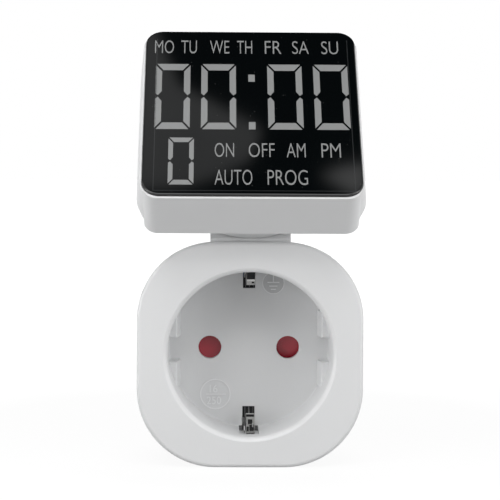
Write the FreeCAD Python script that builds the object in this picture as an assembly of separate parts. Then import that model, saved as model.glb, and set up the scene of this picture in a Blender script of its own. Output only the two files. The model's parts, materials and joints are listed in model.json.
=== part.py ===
import FreeCAD, Part
import math
import os

# Plug-in timer switch: a socket adaptor that carries a clock head on a tilting, turning neck.
# Millimetres, +X to the user's right, -Y towards the user, +Z up.
# Origin: the middle of the plug's engagement face, between its two pins.

# ---------------------------------------------------------------- driving dimensions
# Plug at the back (CEE 7/7 pattern)
plug_depth = 17.5
plug_diameter = 37.5
plug_flat_width = 32.4
plug_wall = 2.0
plug_end_wall = 2.5
pin_diameter = 4.8
pin_length = 19.0
pin_pitch = 19.0
pin_tip_round = 1.6
pin_shoulder_diameter = 5.4
pin_shoulder_proud = 0.2
pin_head_diameter = 8.0
pin_head_length = 2.5
pin_tail_diameter = 2.4
earth_hole_diameter = 4.9
earth_hole_height = 10.0
earth_strip_width = 4.6
earth_strip_thickness = 0.8
earth_strip_length = 23.0
earth_bridge_thickness = 0.5
earth_socket_length = 9.0
earth_socket_split = 0.6
earth_socket_split_length = 6.0
plug_wire_half = 5.0
plug_wire_depth = 6.0
plug_wire_low = 12.5
plug_wire_high = 5.5
plug_middle_half = 3.0
plug_middle_high = 2.0

# Socket housing
body_width = 53.6
body_depth = 42.5
body_corner = 18.6
body_taper = 3.5
body_wall = 2.0
face_edge_round = 1.0
face_dome_radius = 420.0
rear_edge_round = 1.5
front_shell_depth = 22.0
shell_lip = 1.0
shell_lip_height = 1.2

# Socket recess (CEE 7/3 pattern)
recess_diameter = 39.0
recess_depth = 17.5
recess_rim_round = 1.4
recess_foot_round = 0.3
cup_wall = 1.8
floor_wall = 2.0
aperture_diameter = 5.6
guide_rib_chord = 16.65
guide_rib_draft = 7.5
guide_rib_height = 5.6
guide_rib_half = 9.2
guide_notch_half = 2.9
guide_rib_round = 0.4
earth_slot_width = 3.0
earth_slot_inner = 14.45
earth_pocket_width = 4.7
earth_pocket_depth = 1.0
earth_pocket_overlap = 0.3
earth_clip_thickness = 0.6
earth_clip_width = 2.6
earth_clip_rise = 12.0
earth_clip_bulge = 16.0
earth_clip_foot = 17.6

# Shutter behind the recess floor
shutter_thickness = 1.8
shutter_hub_radius = 4.0
shutter_reach = 12.8
shutter_half_angle = 20.0
shutter_ramp = 1.0
shutter_post_radius = 2.0
spring_wire = 0.4
spring_post_gap = 1.0
spring_leg = 5.0
spring_turn = 315.0

# Contact carrier and contacts
carrier_thickness = 1.8
carrier_radius = 20.4
carrier_screw_reach = 16.6
chamber_wall = 1.2
contact_thickness = 0.6
contact_height = 6.0
contact_length = 10.5
contact_tail_width = 2.4

# Power board and what it carries
board_thickness = 1.6
board_strip_gap = 0.95
board_corner = 6.0
board_screw_margin = 2.8
board_screw_length = 3.6
board_screw_drop = 7.0
board_standoff = 1.5
relay_width = 19.0
relay_depth = 11.8
relay_height = 11.0
relay_wall = 0.8
relay_base_height = 1.6
relay_strip_gap = 1.05
relay_neighbour_gap = 0.8
varistor_drop = 2.8
coil_diameter = 6.4
armature_thickness = 0.8
armature_gap = 0.3
armature_travel = 3.0
film_width = 13.0
film_depth = 6.0
film_height = 10.5
electrolytic_diameter = 8.0
electrolytic_height = 10.5
varistor_diameter = 7.0
varistor_thickness = 3.2
connector_width = 7.5
connector_depth = 4.0
connector_height = 4.5
loom_diameter = 1.6
loom_rise = 3.6
loom_lift = 3.0
loom_step = 3.4
loom_over_cup = 0.1
loom_climb = 0.6

# Screws
housing_screw_place = 16.0
housing_boss_radius = 2.9
housing_screw_diameter = 2.2
housing_screw_head = 4.0
housing_screw_sink = 5.0
small_screw_diameter = 1.8
small_screw_head = 3.4
small_head_height = 1.2

# Neck and tilt hinge
neck_width = 19.0
neck_setback = 4.0
neck_slot_width = 11.0
neck_flange_drop = 2.4
neck_flange_side = 1.6
neck_flange_end = 1.2
neck_front_wall = 2.0
neck_lead_half = 5.2
neck_lead_front = 3.0
neck_lead_back = 5.0
hinge_up = 16.0
hinge_back = 5.5
hinge_barrel_radius = 5.0
hinge_pin_diameter = 3.0
lug_width = 9.6
washer_diameter = 8.0

# Clock head, measured along its display (up) and square to it (back)
head_tilt = 43.2
window_width = 50.3
window_height = 52.9
window_corner = 4.2
window_thickness = 1.4
window_bevel = 0.35
window_sill_out = 16.8
window_sill_up = 38.2
rim_set_back = 0.6
rim_side = 0.45
rim_bottom = 0.6
rim_top = 0.3
rim_round = 0.4
seam_depth = 9.9
seam_flare_side = 1.45
seam_flare_top = 1.0
seam_corner = 8.0
seam_chamfer = 0.2
chin_depth = 12.75
chin_inset = 1.75
chin_corner = 3.4
chin_height = 9.0
head_depth = 16.5
back_inset_side = 1.0
back_inset_bottom = 2.0
back_inset_top = 1.4
back_edge_round = 4.2
head_wall = 1.6
back_wall = 2.0
head_boss_radius = 2.4
head_screw_sink = 2.6
window_lip = 1.5

# Turning joint on the back of the head
turret_radius = 17.0
turret_depth = 5.0
turret_edge_round = 0.8
turret_up = 22.25
hub_radius = 7.0
hub_bore = 2.6
retainer_screw_reach = 4.9
retainer_screw_head = 3.0
retainer_radius = 10.0
retainer_thickness = 1.5

# Display stack and head board
lcd_thickness = 2.6
lcd_margin = 0.5
reflector_thickness = 1.2
frame_bar = 2.0
zebra_width = 1.8
head_board_back = 12.0
head_board_margin = 0.5
board_window_radius = 12.5
head_board_corner = 3.6
cell_diameter = 12.5
cell_thickness = 1.8
cell_step = 0.2
cell_margin = 13.65
cell_drop = 11.0
cell_cap_inset = 1.2
clip_thickness = 0.3
clip_width = 3.0
clip_gap = 0.4
crystal_diameter = 2.0
crystal_length = 6.0
crystal_step = 11.0
chip_radius = 4.5
chip_height = 1.2
chip_margin = 10.65
chip_drop = 12.0

# Keys on the head's top wall
key_count = 6
key_row_margin = 2.75
key_rib = 1.8
key_height = 3.0
key_proud = 0.8
key_travel = 0.4
key_back = 7.2
key_flange = 0.6
key_flange_lip = 0.4
reset_diameter = 1.6
reset_margin = 0.8
reset_drop = 1.2
switch_depth = 4.4
switch_height = 3.0
plunger_width = 1.8
plunger_depth = 1.6
plunger_rise = 0.6

# Clearances
fit = 0.05
running_fit = 0.1
sliding_gap = 0.2
part_gap = 0.3
over = 1.0
beyond = 80.0

# ---------------------------------------------------------------- derived places
y_rear = -plug_depth
y_face = y_rear - body_depth
y_rim = y_face + (recess_diameter / 2) ** 2 / (2 * face_dome_radius)
y_floor = y_rim + recess_depth
y_floor_back = y_floor + floor_wall
y_split = y_face + front_shell_depth
y_rear_inside = y_rear - body_wall
y_shutter = y_floor_back + sliding_gap
y_carrier = y_shutter + shutter_thickness + sliding_gap
y_contact = y_carrier + carrier_thickness
y_board_back = y_rear_inside - board_standoff
y_board = y_board_back - board_thickness
recess_radius = recess_diameter / 2
pin_x = pin_pitch / 2
pin_radius = pin_diameter / 2
body_half = body_width / 2
neck_low = body_half - body_wall - neck_flange_drop
board_width = plug_diameter - 2 * (earth_strip_thickness + board_strip_gap)
board_screw_reach = board_width / 2 - board_screw_margin
relay_bottom = plug_diameter / 2 - relay_strip_gap - relay_depth
key_pitch = (window_width - 2 * key_row_margin) / (key_count + 1)
key_width = key_pitch - key_rib
reset_step = (key_pitch + key_rib) / 2 + reset_margin
switch_width = key_width - sliding_gap
y_sill = y_rim - window_sill_out
head_floor = window_thickness + fit
lcd_front = head_floor + fit
lcd_back = lcd_front + lcd_thickness
reflector_back = lcd_back + reflector_thickness
head_board_front = head_board_back - board_thickness
hinge_depth = head_depth + part_gap + turret_depth + hinge_back


# ---------------------------------------------------------------- helpers
def block(x0, x1, y0, y1, z0, z1):
    """A box between two corners."""
    return Part.makeBox(x1 - x0, y1 - y0, z1 - z0, FreeCAD.Vector(x0, y0, z0))


def rod(radius, start, end):
    """A round bar from one point to another."""
    first = FreeCAD.Vector(*start)
    run = FreeCAD.Vector(*end) - first
    return Part.makeCylinder(radius, run.Length, first, run)


def rod_y(radius, y0, y1, x=0.0, z=0.0):
    """A round bar along Y."""
    return rod(radius, (x, y0, z), (x, y1, z))


def tube_y(outer, inner, y0, y1, x=0.0, z=0.0):
    """A round tube along Y."""
    return rod_y(outer, y0, y1, x, z).cut(rod_y(inner, y0 - 1, y1 + 1, x, z))


def joined(shapes):
    """One solid made of several that touch or overlap."""
    result = shapes[0]
    for shape in shapes[1:]:
        result = result.fuse(shape)
    return result.removeSplitter()


def rounded_outline(left, right, bottom, top, corner, y):
    """A closed rounded rectangle in the plane at y."""
    lean = corner * (1 - math.sqrt(0.5))

    def at(x, z):
        return FreeCAD.Vector(x, y, z)

    bottom_side = Part.makeLine(at(left + corner, bottom), at(right - corner, bottom))
    right_side = Part.makeLine(at(right, bottom + corner), at(right, top - corner))
    top_side = Part.makeLine(at(right - corner, top), at(left + corner, top))
    left_side = Part.makeLine(at(left, top - corner), at(left, bottom + corner))
    low_right = Part.Arc(at(right - corner, bottom), at(right - lean, bottom + lean),
                         at(right, bottom + corner)).toShape()
    high_right = Part.Arc(at(right, top - corner), at(right - lean, top - lean),
                          at(right - corner, top)).toShape()
    high_left = Part.Arc(at(left + corner, top), at(left + lean, top - lean),
                         at(left, top - corner)).toShape()
    low_left = Part.Arc(at(left, bottom + corner), at(left + lean, bottom + lean),
                        at(left + corner, bottom)).toShape()
    return Part.Wire([bottom_side, low_right, right_side, high_right,
                      top_side, high_left, left_side, low_left])


def between(first, last):
    """A straight-sided solid between two outlines."""
    return Part.makeLoft([first, last], True, True)


def plate(left, right, bottom, top, corner, y0, y1):
    """A flat rounded plate with its faces at y0 and y1."""
    face = Part.Face(rounded_outline(left, right, bottom, top, corner, y0))
    return face.extrude(FreeCAD.Vector(0, y1 - y0, 0))


def profile_x(points, half_width):
    """A solid of constant section along X from an outline of (y, z) points."""
    corners = [FreeCAD.Vector(-half_width, y, z) for y, z in points]
    face = Part.Face(Part.makePolygon(corners + corners[:1]))
    return face.extrude(FreeCAD.Vector(2 * half_width, 0, 0))


def edges_in_plane(shape, y, tolerance=0.02):
    """The edges of a solid that lie in the plane at y."""
    found = []
    for edge in shape.Edges:
        box = edge.BoundBox
        if abs(box.YMin - y) < tolerance and abs(box.YMax - y) < tolerance:
            found.append(edge)
    return found


def screw(x, y, z, direction, length, thread, head, head_height):
    """A pan-head screw with a cross recess; its head bears on the given point."""
    way = FreeCAD.Vector(*direction)
    seat = FreeCAD.Vector(x, y, z)
    shank = Part.makeCylinder(thread / 2, length, seat, way)
    cap = Part.makeCylinder(head / 2, head_height, seat - way * head_height, way)
    slot = Part.makeBox(head * 0.6, thread * 0.25, head_height * 0.5,
                        FreeCAD.Vector(-head * 0.3, -thread * 0.125, 0))
    cross = slot.fuse(slot.rotated(FreeCAD.Vector(0, 0, 0), FreeCAD.Vector(0, 0, 1), 90))
    cross.Placement = FreeCAD.Placement(
        seat - way * head_height,
        FreeCAD.Rotation(FreeCAD.Vector(0, 0, 1), way))
    return cap.fuse(shank).cut(cross)


def swept(edges, start, first, radius):
    """A round wire along a run of edges that starts at a point in a direction."""
    path = Part.Wire(edges)
    ring = Part.Wire([Part.makeCircle(radius, start, first)])
    return path.makePipeShell([ring], True, True)


def wire_path(points, radius):
    """A round wire through the points, with a tangent arc at every corner."""
    vectors = [FreeCAD.Vector(*point) for point in points]
    edges = []
    start = vectors[0]
    for index in range(1, len(vectors) - 1):
        corner = vectors[index]
        back = vectors[index - 1] - corner
        ahead = vectors[index + 1] - corner
        shorter = min(back.Length, ahead.Length)
        turn = math.pi - back.getAngle(ahead)
        trim = 0.45 * shorter
        bend = trim / math.tan(turn / 2)
        back.normalize()
        ahead.normalize()
        enter = corner + back * trim
        leave = corner + ahead * trim
        middle = back + ahead
        middle.normalize()
        deep = math.hypot(bend, trim) - bend
        edges.append(Part.makeLine(start, enter))
        edges.append(Part.Arc(enter, corner + middle * deep, leave).toShape())
        start = leave
    edges.append(Part.makeLine(start, vectors[-1]))
    return swept(edges, vectors[0], vectors[1] - vectors[0], radius)


def place_head(shape):
    """Put a piece, drawn upright at its own sill, at the head's place and lean."""
    copy = shape.copy()
    copy.rotate(FreeCAD.Vector(0, 0, 0), FreeCAD.Vector(1, 0, 0), -head_tilt)
    copy.translate(FreeCAD.Vector(0, y_sill, window_sill_up))
    return copy


def head_point(up, back):
    """The (y, z) place of a point given along the display and square to it."""
    lean = math.radians(head_tilt)
    y = y_sill + up * math.sin(lean) + back * math.cos(lean)
    z = window_sill_up + up * math.cos(lean) - back * math.sin(lean)
    return y, z


nodes = {}


def keep(name, shape):
    """Record one piece under its node name."""
    nodes[name] = shape


# ---------------------------------------------------------------- socket housing
def body_outline(y, inset):
    """The housing's outline at a depth, inset from its outer skin."""
    narrowing = (y - y_face) * math.tan(math.radians(body_taper))
    half = body_half - narrowing - inset
    return rounded_outline(-half, half, -half, half, body_corner - narrowing - inset, y)


def body_block(y0, y1, inset=0.0):
    """The tapered housing between two depths."""
    return between(body_outline(y0, inset), body_outline(y1, inset))


def boss_places():
    """The four corner screw places."""
    return [(x, z) for x in (-housing_screw_place, housing_screw_place)
            for z in (-housing_screw_place, housing_screw_place)]


def domed_front():
    """The front half of the housing, with its gentle dome and soft edge."""
    half = body_block(y_face, y_split)
    dome = Part.makeSphere(face_dome_radius, FreeCAD.Vector(0, y_face + face_dome_radius, 0))
    half = half.common(dome)
    edge = []
    for candidate in half.Edges:
        box = candidate.BoundBox
        if box.YMax < y_face + 3.0 and box.YMax - box.YMin < 2.5:
            edge.append(candidate)
    half = half.makeFillet(face_edge_round, edge)
    return half.makeChamfer(seam_chamfer, edges_in_plane(half, y_split))


def guide_ribs():
    """The two side guides of the recess, each split by a notch."""
    y_top = y_floor - guide_rib_height
    slope = guide_rib_height * math.tan(math.radians(guide_rib_draft))
    ribs = []
    for side in (-1, 1):
        outline = [FreeCAD.Vector(side * guide_rib_chord, y_floor, -guide_rib_half),
                   FreeCAD.Vector(side * (guide_rib_chord + slope), y_top, -guide_rib_half),
                   FreeCAD.Vector(side * (recess_radius + 0.5), y_top, -guide_rib_half),
                   FreeCAD.Vector(side * (recess_radius + 0.5), y_floor, -guide_rib_half)]
        rib = Part.Face(Part.makePolygon(outline + outline[:1]))
        rib = rib.extrude(FreeCAD.Vector(0, 0, 2 * guide_rib_half))
        notch = block(-30, 30, y_top - 1, y_floor, -guide_notch_half, guide_notch_half)
        rib = rib.cut(notch).common(rod_y(recess_radius + 0.4, y_top, y_floor))
        rounded = [edge for edge in edges_in_plane(rib, y_top)
                   if abs(edge.CenterOfMass.x) < recess_radius - guide_rib_round
                   or abs(edge.CenterOfMass.z) < guide_rib_half]
        rounded = [edge for edge in rounded if edge.Curve.TypeId == "Part::GeomLine"]
        ribs.append(rib.makeFillet(guide_rib_round, rounded))
    return ribs


def recess_cutter():
    """The space of the socket recess, with its rounded foot."""
    hole = rod_y(recess_radius, y_face - 2, y_floor)
    return hole.makeFillet(recess_foot_round, edges_in_plane(hole, y_floor))


def rim_flare():
    """The ring that rounds the recess mouth into the face."""
    round_radius = recess_rim_round
    ring = tube_y(recess_radius + round_radius, recess_radius - 1, y_face - 2, y_rim + round_radius)
    torus = Part.makeTorus(recess_radius + round_radius, round_radius,
                           FreeCAD.Vector(0, y_rim + round_radius, 0), FreeCAD.Vector(0, 1, 0))
    return ring.cut(torus)


def earth_openings():
    """The slots in the floor and pockets in the wall that the earth clips stand in."""
    half = earth_slot_width / 2
    outer = recess_radius + earth_pocket_depth
    cuts = []
    for side in (-1, 1):
        low, high = sorted((side * earth_slot_inner, side * outer))
        cuts.append(block(-half, half, y_floor - 0.01, y_floor_back + 1, low, high))
    pocket_half = earth_pocket_width / 2
    inner = recess_radius - earth_pocket_overlap
    for side in (-1, 1):
        low, high = sorted((side * inner, side * outer))
        cuts.append(block(-pocket_half, pocket_half, y_floor - earth_clip_rise, y_floor_back + 1, low, high))
    return cuts


def neck_cutout():
    """The room for the neck in the top wall, and for its flange under that wall."""
    y0 = y_face + neck_setback
    y1 = head_point(hinge_up, hinge_depth)[0] + hinge_barrel_radius
    half = neck_width / 2 + fit
    passage = block(-half, half, y0 - fit, y1 + fit, neck_low - fit, body_half + over)
    reach = half + neck_flange_side
    pocket = block(-reach, reach, y0 - neck_flange_end - fit, y1 + neck_flange_end + fit,
                   neck_low - fit, body_half)
    return passage.fuse(pocket.common(body_block(y_face + body_wall + over, y_split, body_wall)))


def front_shell():
    """The face, the recess cup and the front half of the side walls."""
    shell = domed_front()
    cavity = body_block(y_face + body_wall + 1.0, y_split + 0.001, body_wall)
    cavity = cavity.cut(rod_y(recess_radius + cup_wall, y_face, y_floor_back))
    for x, z in boss_places():
        cavity = cavity.cut(rod_y(housing_boss_radius, y_face, y_split, x, z))
    for side in (-1, 1):
        cavity = cavity.cut(rod_y(small_screw_head / 2 + 0.6, y_floor, y_carrier,
                                  side * carrier_screw_reach))
    shell = shell.cut(cavity)
    shell = shell.cut(recess_cutter()).cut(rim_flare())
    shell = joined([shell] + guide_ribs())
    for cut in earth_openings():
        shell = shell.cut(cut)
    for side in (-1, 1):
        shell = shell.cut(rod_y(aperture_diameter / 2, y_floor - 1, y_floor_back + 1, side * pin_x))
        shell = shell.cut(rod_y(small_screw_diameter / 2, y_floor + 0.8, y_carrier + 1,
                                side * carrier_screw_reach))
    for x, z in boss_places():
        shell = shell.cut(rod_y(housing_screw_diameter / 2, y_split - 9, y_split + 1, x, z))
    lip_room = body_block(y_split - shell_lip_height, y_split + 1, body_wall - shell_lip)
    lip_room = lip_room.cut(body_block(y_split - shell_lip_height - 1, y_split + 2, body_wall + 0.5))
    for x, z in boss_places():
        lip_room = lip_room.cut(rod_y(housing_boss_radius + fit, y_split - 3, y_split + 2, x, z))
    return shell.cut(lip_room).cut(neck_cutout()).cut(loom_path(part_gap))


def plug_block(radius_inset, y0, y1):
    """The plug's round body with flat sides, inset from its skin."""
    radius = plug_diameter / 2 - radius_inset
    half = plug_flat_width / 2 - radius_inset
    body = rod_y(radius, y0, y1)
    return body.common(block(-half, half, y0 - 1, y1 + 1, -radius - 1, radius + 1))


def plug_end_holes():
    """The holes in the plug's end face: two pins and the earth socket."""
    holes = [rod_y(pin_shoulder_diameter / 2 + fit, -plug_end_wall - over, over, side * pin_x)
             for side in (-1, 1)]
    holes.append(rod_y(earth_hole_diameter / 2, -plug_end_wall - 1, 1, 0, earth_hole_height))
    return holes


def earth_strip_slots():
    """The grooves in the plug's top and bottom that hold the earth contacts."""
    half = earth_strip_width / 2 + fit
    radius = plug_diameter / 2
    depth = radius - earth_strip_thickness - fit
    slots = []
    for side in (-1, 1):
        low, high = sorted((side * depth, side * (radius + 2)))
        slots.append(block(-half, half, y_rear, -plug_end_wall, low, high))
        low, high = sorted((side * depth, side * (radius + fit)))
        slots.append(block(-half, half, y_rear_inside - 1, y_rear + 1, low, high))
    return slots


def rear_shell():
    """The back half of the housing with the hollow plug body moulded on."""
    outer = body_block(y_split, y_rear)
    outer = outer.makeFillet(rear_edge_round, edges_in_plane(outer, y_rear))
    outer = outer.makeChamfer(seam_chamfer, edges_in_plane(outer, y_split))
    lip = body_block(y_split - shell_lip_height + fit, y_split + 2, body_wall - shell_lip + fit)
    lip = lip.cut(body_block(y_split - shell_lip_height, y_split + 3, body_wall))
    shell = outer.fuse(plug_block(0.0, y_rear - 1, 0.0))
    shell = shell.cut(body_block(y_split - 1, y_rear_inside, body_wall))
    bosses = []
    for x, z in boss_places():
        bosses.append(rod_y(housing_boss_radius, y_split, y_rear_inside + 0.5, x, z))
        bosses.append(rod_y(housing_screw_head / 2 + 1.0, y_rear - housing_screw_sink - 1.2,
                            y_rear_inside + 0.5, x, z))
    bosses = [boss.common(body_block(y_split - 1, y_rear, 0.5)) for boss in bosses]
    for side in (-1, 1):
        bosses.append(rod_y(small_screw_head / 2 + 0.4, y_board_back, y_rear_inside + 0.5,
                            side * board_screw_reach, -board_screw_drop))
    for x, z in boss_places():
        lip = lip.cut(rod_y(housing_boss_radius + part_gap, y_split - 4, y_split, x, z))
    shell = joined([shell, lip] + bosses)
    shell = shell.cut(plug_block(plug_wall, y_rear_inside - 0.01, -plug_end_wall))
    for x, z in boss_places():
        shell = shell.cut(rod_y(housing_screw_diameter / 2 + fit, y_split - 1, y_rear + 1, x, z))
        shell = shell.cut(rod_y(housing_screw_head / 2 + running_fit, y_rear - housing_screw_sink,
                                y_rear + 1, x, z))
    for side in (-1, 1):
        shell = shell.cut(rod_y(small_screw_diameter / 2, y_board_back - 1, y_rear - 0.6,
                                side * board_screw_reach, -board_screw_drop))
    for cut in plug_end_holes() + earth_strip_slots():
        shell = shell.cut(cut)
    neck = neck_cutout()
    return shell.cut(neck) if neck.BoundBox.YMax > y_split else shell


def housing_screws():
    """The four long screws that hold the two shells together."""
    y_seat = y_rear - housing_screw_sink
    length = y_seat - (y_split - 8.0)
    screws = [screw(x, y_seat, z, (0, -1, 0), length, housing_screw_diameter,
                    housing_screw_head, 1.6) for x, z in boss_places()]
    return Part.makeCompound(screws)


# ---------------------------------------------------------------- plug parts
def plug_pin(side):
    """One solid brass pin with its shoulder, collar and solder tail."""
    x = side * pin_x
    pin = rod_y(pin_radius, -plug_end_wall - pin_head_length, pin_length, x)
    pin = pin.makeFillet(pin_tip_round, edges_in_plane(pin, pin_length))
    shoulder = rod_y(pin_shoulder_diameter / 2, -plug_end_wall - pin_head_length, pin_shoulder_proud, x)
    collar = rod_y(pin_head_diameter / 2, -plug_end_wall - pin_head_length, -plug_end_wall, x)
    tail = rod_y(pin_tail_diameter / 2, y_board - 0.2, -plug_end_wall - pin_head_length, x)
    return joined([pin, shoulder, collar, tail])


def pin_carrier():
    """The moulding inside the plug body that clamps the pins and earth socket."""
    y0 = y_rear_inside + 1.0
    y1 = -plug_end_wall
    carrier = plug_block(plug_wall + fit, y0, y1)
    for side in (-1, 1):
        x = side * pin_x
        carrier = carrier.cut(rod_y(pin_head_diameter / 2 + fit, y1 - pin_head_length - fit, y1 + 1, x))
        carrier = carrier.cut(rod_y(pin_tail_diameter / 2 + fit, y0 - 1, y1, x))
        carrier = carrier.cut(block(x - plug_wire_half, x + plug_wire_half, y0 - over, y0 + plug_wire_depth,
                                    -plug_wire_low, -plug_wire_high))
    carrier = carrier.cut(rod_y(earth_hole_diameter / 2 + contact_thickness + fit,
                                y1 - earth_socket_length - fit, y1 + over, 0, earth_hole_height))
    return carrier.cut(block(-plug_middle_half, plug_middle_half, y0 - over, y0 + plug_wire_depth + over,
                             -plug_wire_low, -plug_middle_high))


def earth_pin_socket():
    """The sprung sleeve that takes a socket's fixed earth pin."""
    y1 = -plug_end_wall - fit
    sleeve = tube_y(earth_hole_diameter / 2 + contact_thickness, earth_hole_diameter / 2,
                    y1 - earth_socket_length, y1, 0, earth_hole_height)
    half = earth_socket_split / 2
    split = block(-half, half, y1 - earth_socket_split_length, y1 + over, earth_hole_height,
                  earth_hole_height + earth_hole_diameter)
    return sleeve.cut(split)


def plug_earth(side):
    """One earth contact strip, let into the top or bottom of the plug body."""
    half = earth_strip_width / 2
    outer = plug_diameter / 2
    inner = outer - earth_strip_thickness
    low, high = sorted((side * inner, side * outer))
    end = -plug_end_wall - fit
    return block(-half, half, end - earth_strip_length, end, low, high)


# ---------------------------------------------------------------- socket inner parts
def shutter():
    """The red two-winged shutter that closes the pin apertures until both are pushed."""
    y0 = y_shutter
    y1 = y_shutter + shutter_thickness
    disc = rod_y(shutter_reach, y0, y1)
    angle = math.radians(shutter_half_angle)
    reach = shutter_reach * 1.5
    wings = []
    for side in (-1, 1):
        outline = [FreeCAD.Vector(0, y0, 0),
                   FreeCAD.Vector(side * reach, y0, -reach * math.tan(angle)),
                   FreeCAD.Vector(side * reach, y0, reach * math.tan(angle))]
        wedge = Part.Face(Part.makePolygon(outline + outline[:1]))
        wings.append(wedge.extrude(FreeCAD.Vector(0, shutter_thickness, 0)).common(disc))
    body = joined([rod_y(shutter_hub_radius, y0, y1)] + wings)
    width = shutter_reach * math.sin(angle)
    for side in (-1, 1):
        ramp = [FreeCAD.Vector(side * 5.2, y0 - 0.001, side * width),
                FreeCAD.Vector(side * 5.2, y0 - 0.001, -side * width),
                FreeCAD.Vector(side * 5.2, y0 + shutter_ramp, -side * width)]
        cut = Part.Face(Part.makePolygon(ramp + ramp[:1]))
        body = body.cut(cut.extrude(FreeCAD.Vector(side * 7.0, 0, 0)))
    return body.cut(rod_y(shutter_post_radius + fit, y0 - 1, y1 + 1))


def shutter_spring():
    """The small torsion spring round the shutter's post, in the carrier's pocket."""
    y_mid = y_carrier + spring_wire
    radius = shutter_post_radius + spring_post_gap
    start = FreeCAD.Vector(radius, y_mid, -spring_leg)
    knee = FreeCAD.Vector(radius, y_mid, 0)
    turn = math.radians(spring_turn)
    middle = FreeCAD.Vector(radius * math.cos(turn / 2), y_mid, radius * math.sin(turn / 2))
    end = FreeCAD.Vector(radius * math.cos(turn), y_mid, radius * math.sin(turn))
    edges = [Part.makeLine(start, knee), Part.Arc(knee, middle, end).toShape()]
    return swept(edges, start, knee - start, spring_wire / 2)


def contact_space(side, grow):
    """The outer block of one socket contact, grown by a clearance."""
    half = pin_radius + fit + contact_thickness + grow
    return block(side * pin_x - half, side * pin_x + half, y_contact - grow,
                 y_contact + contact_length + grow,
                 -contact_height / 2 - grow, contact_height / 2 + contact_thickness + grow)


def contact_carrier():
    """The moulded plate behind the shutter with a chamber for each contact."""
    y0 = y_carrier
    y1 = y_carrier + carrier_thickness
    body = rod_y(carrier_radius, y0, y1)
    for x, z in boss_places():
        body = body.cut(rod_y(housing_boss_radius + part_gap, y0 - 1, y1 + 1, x, z))
    post = rod_y(shutter_post_radius, y_shutter - sliding_gap + fit, y1)
    pieces = [body, post]
    for side in (-1, 1):
        pieces.append(contact_space(side, fit + chamber_wall))
    carrier = joined(pieces)
    for side in (-1, 1):
        space = contact_space(side, fit)
        opening = space.BoundBox
        carrier = carrier.cut(space)
        carrier = carrier.cut(block(opening.XMin, opening.XMax, opening.YMin, opening.YMax + 5,
                                    opening.ZMin, opening.ZMax))
        carrier = carrier.cut(rod_y(aperture_diameter / 2, y_shutter, y1 + 1, side * pin_x))
        carrier = carrier.cut(rod_y(small_screw_diameter / 2 + fit, y0 - 1, y1 + 1,
                                    side * carrier_screw_reach))
    pocket = tube_y(shutter_post_radius + 1.0 + spring_wire, shutter_post_radius,
                    y0 - 0.01, y0 + 2.4 * spring_wire)
    carrier = carrier.cut(pocket)
    leg_room = block(shutter_post_radius + 0.6, shutter_post_radius + 1.4, y0 - 0.01,
                     y0 + 2.4 * spring_wire, -5.2, 0)
    carrier = carrier.cut(leg_room)
    for side in (-1, 1):
        low, high = sorted((side * (earth_clip_foot - 0.8), side * (carrier_radius + 1)))
        carrier = carrier.cut(block(-earth_pocket_width / 2, earth_pocket_width / 2,
                                    y0 - 1, y1 + 1, low, high))
    return carrier


def socket_contact(side):
    """One brass contact: two leaves over the pin's path, a web and a solder tail."""
    outer = contact_space(side, 0.0)
    box = outer.BoundBox
    inner = block(box.XMin + contact_thickness, box.XMax - contact_thickness, box.YMin - 1,
                  box.YMax + 1, box.ZMin - 1, box.ZMax - contact_thickness)
    x = side * pin_x
    tail = block(x - contact_tail_width / 2, x + contact_tail_width / 2, box.YMax - 1,
                 y_board + board_thickness + 0.6, box.ZMax - contact_thickness, box.ZMax)
    return joined([outer.cut(inner), tail])


def carrier_screws():
    """The two small screws that hold the contact carrier."""
    screws = [screw(side * carrier_screw_reach, y_contact, 0, (0, -1, 0), 3.6,
                    small_screw_diameter - 0.1, small_screw_head, small_head_height)
              for side in (-1, 1)]
    return Part.makeCompound(screws)


def bent_strip(points, half_width, thickness):
    """A sheet-metal strip bent along (y, z) points, by hulls between round corners."""
    bends = []
    for start, end in zip(points[:-1], points[1:]):
        run = math.hypot(end[0] - start[0], end[1] - start[1])
        side_y = -(end[1] - start[1]) / run * thickness / 2
        side_z = (end[0] - start[0]) / run * thickness / 2
        outline = [(start[0] + side_y, start[1] + side_z), (end[0] + side_y, end[1] + side_z),
                   (end[0] - side_y, end[1] - side_z), (start[0] - side_y, start[1] - side_z)]
        bends.append(profile_x(outline, half_width))
    for y, z in points[1:-1]:
        bends.append(rod(thickness / 2, (-half_width, y, z), (half_width, y, z)))
    return joined(bends)


def earth_clip(side):
    """One sprung earth contact: it stands in the recess and runs back to the plug strip."""
    lane = plug_diameter / 2 + earth_clip_thickness / 2
    path = [(y_floor - earth_clip_rise + 1.0, side * (recess_radius + 0.1)),
            (y_floor - 4.5, side * earth_clip_bulge),
            (y_floor - 0.5, side * earth_clip_foot),
            (y_carrier + 0.8, side * earth_clip_foot),
            (y_carrier + 2.6, side * lane),
            (y_board - 1.0, side * lane)]
    return bent_strip(path, earth_clip_width / 2, earth_clip_thickness)


def earth_bridge():
    """The strap behind the board that joins the two earth strips."""
    half = plug_diameter / 2 - earth_strip_thickness
    y1 = y_rear_inside - sliding_gap
    return block(-earth_clip_width / 2, earth_clip_width / 2, y1 - earth_bridge_thickness, y1, -half, half)


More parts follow.
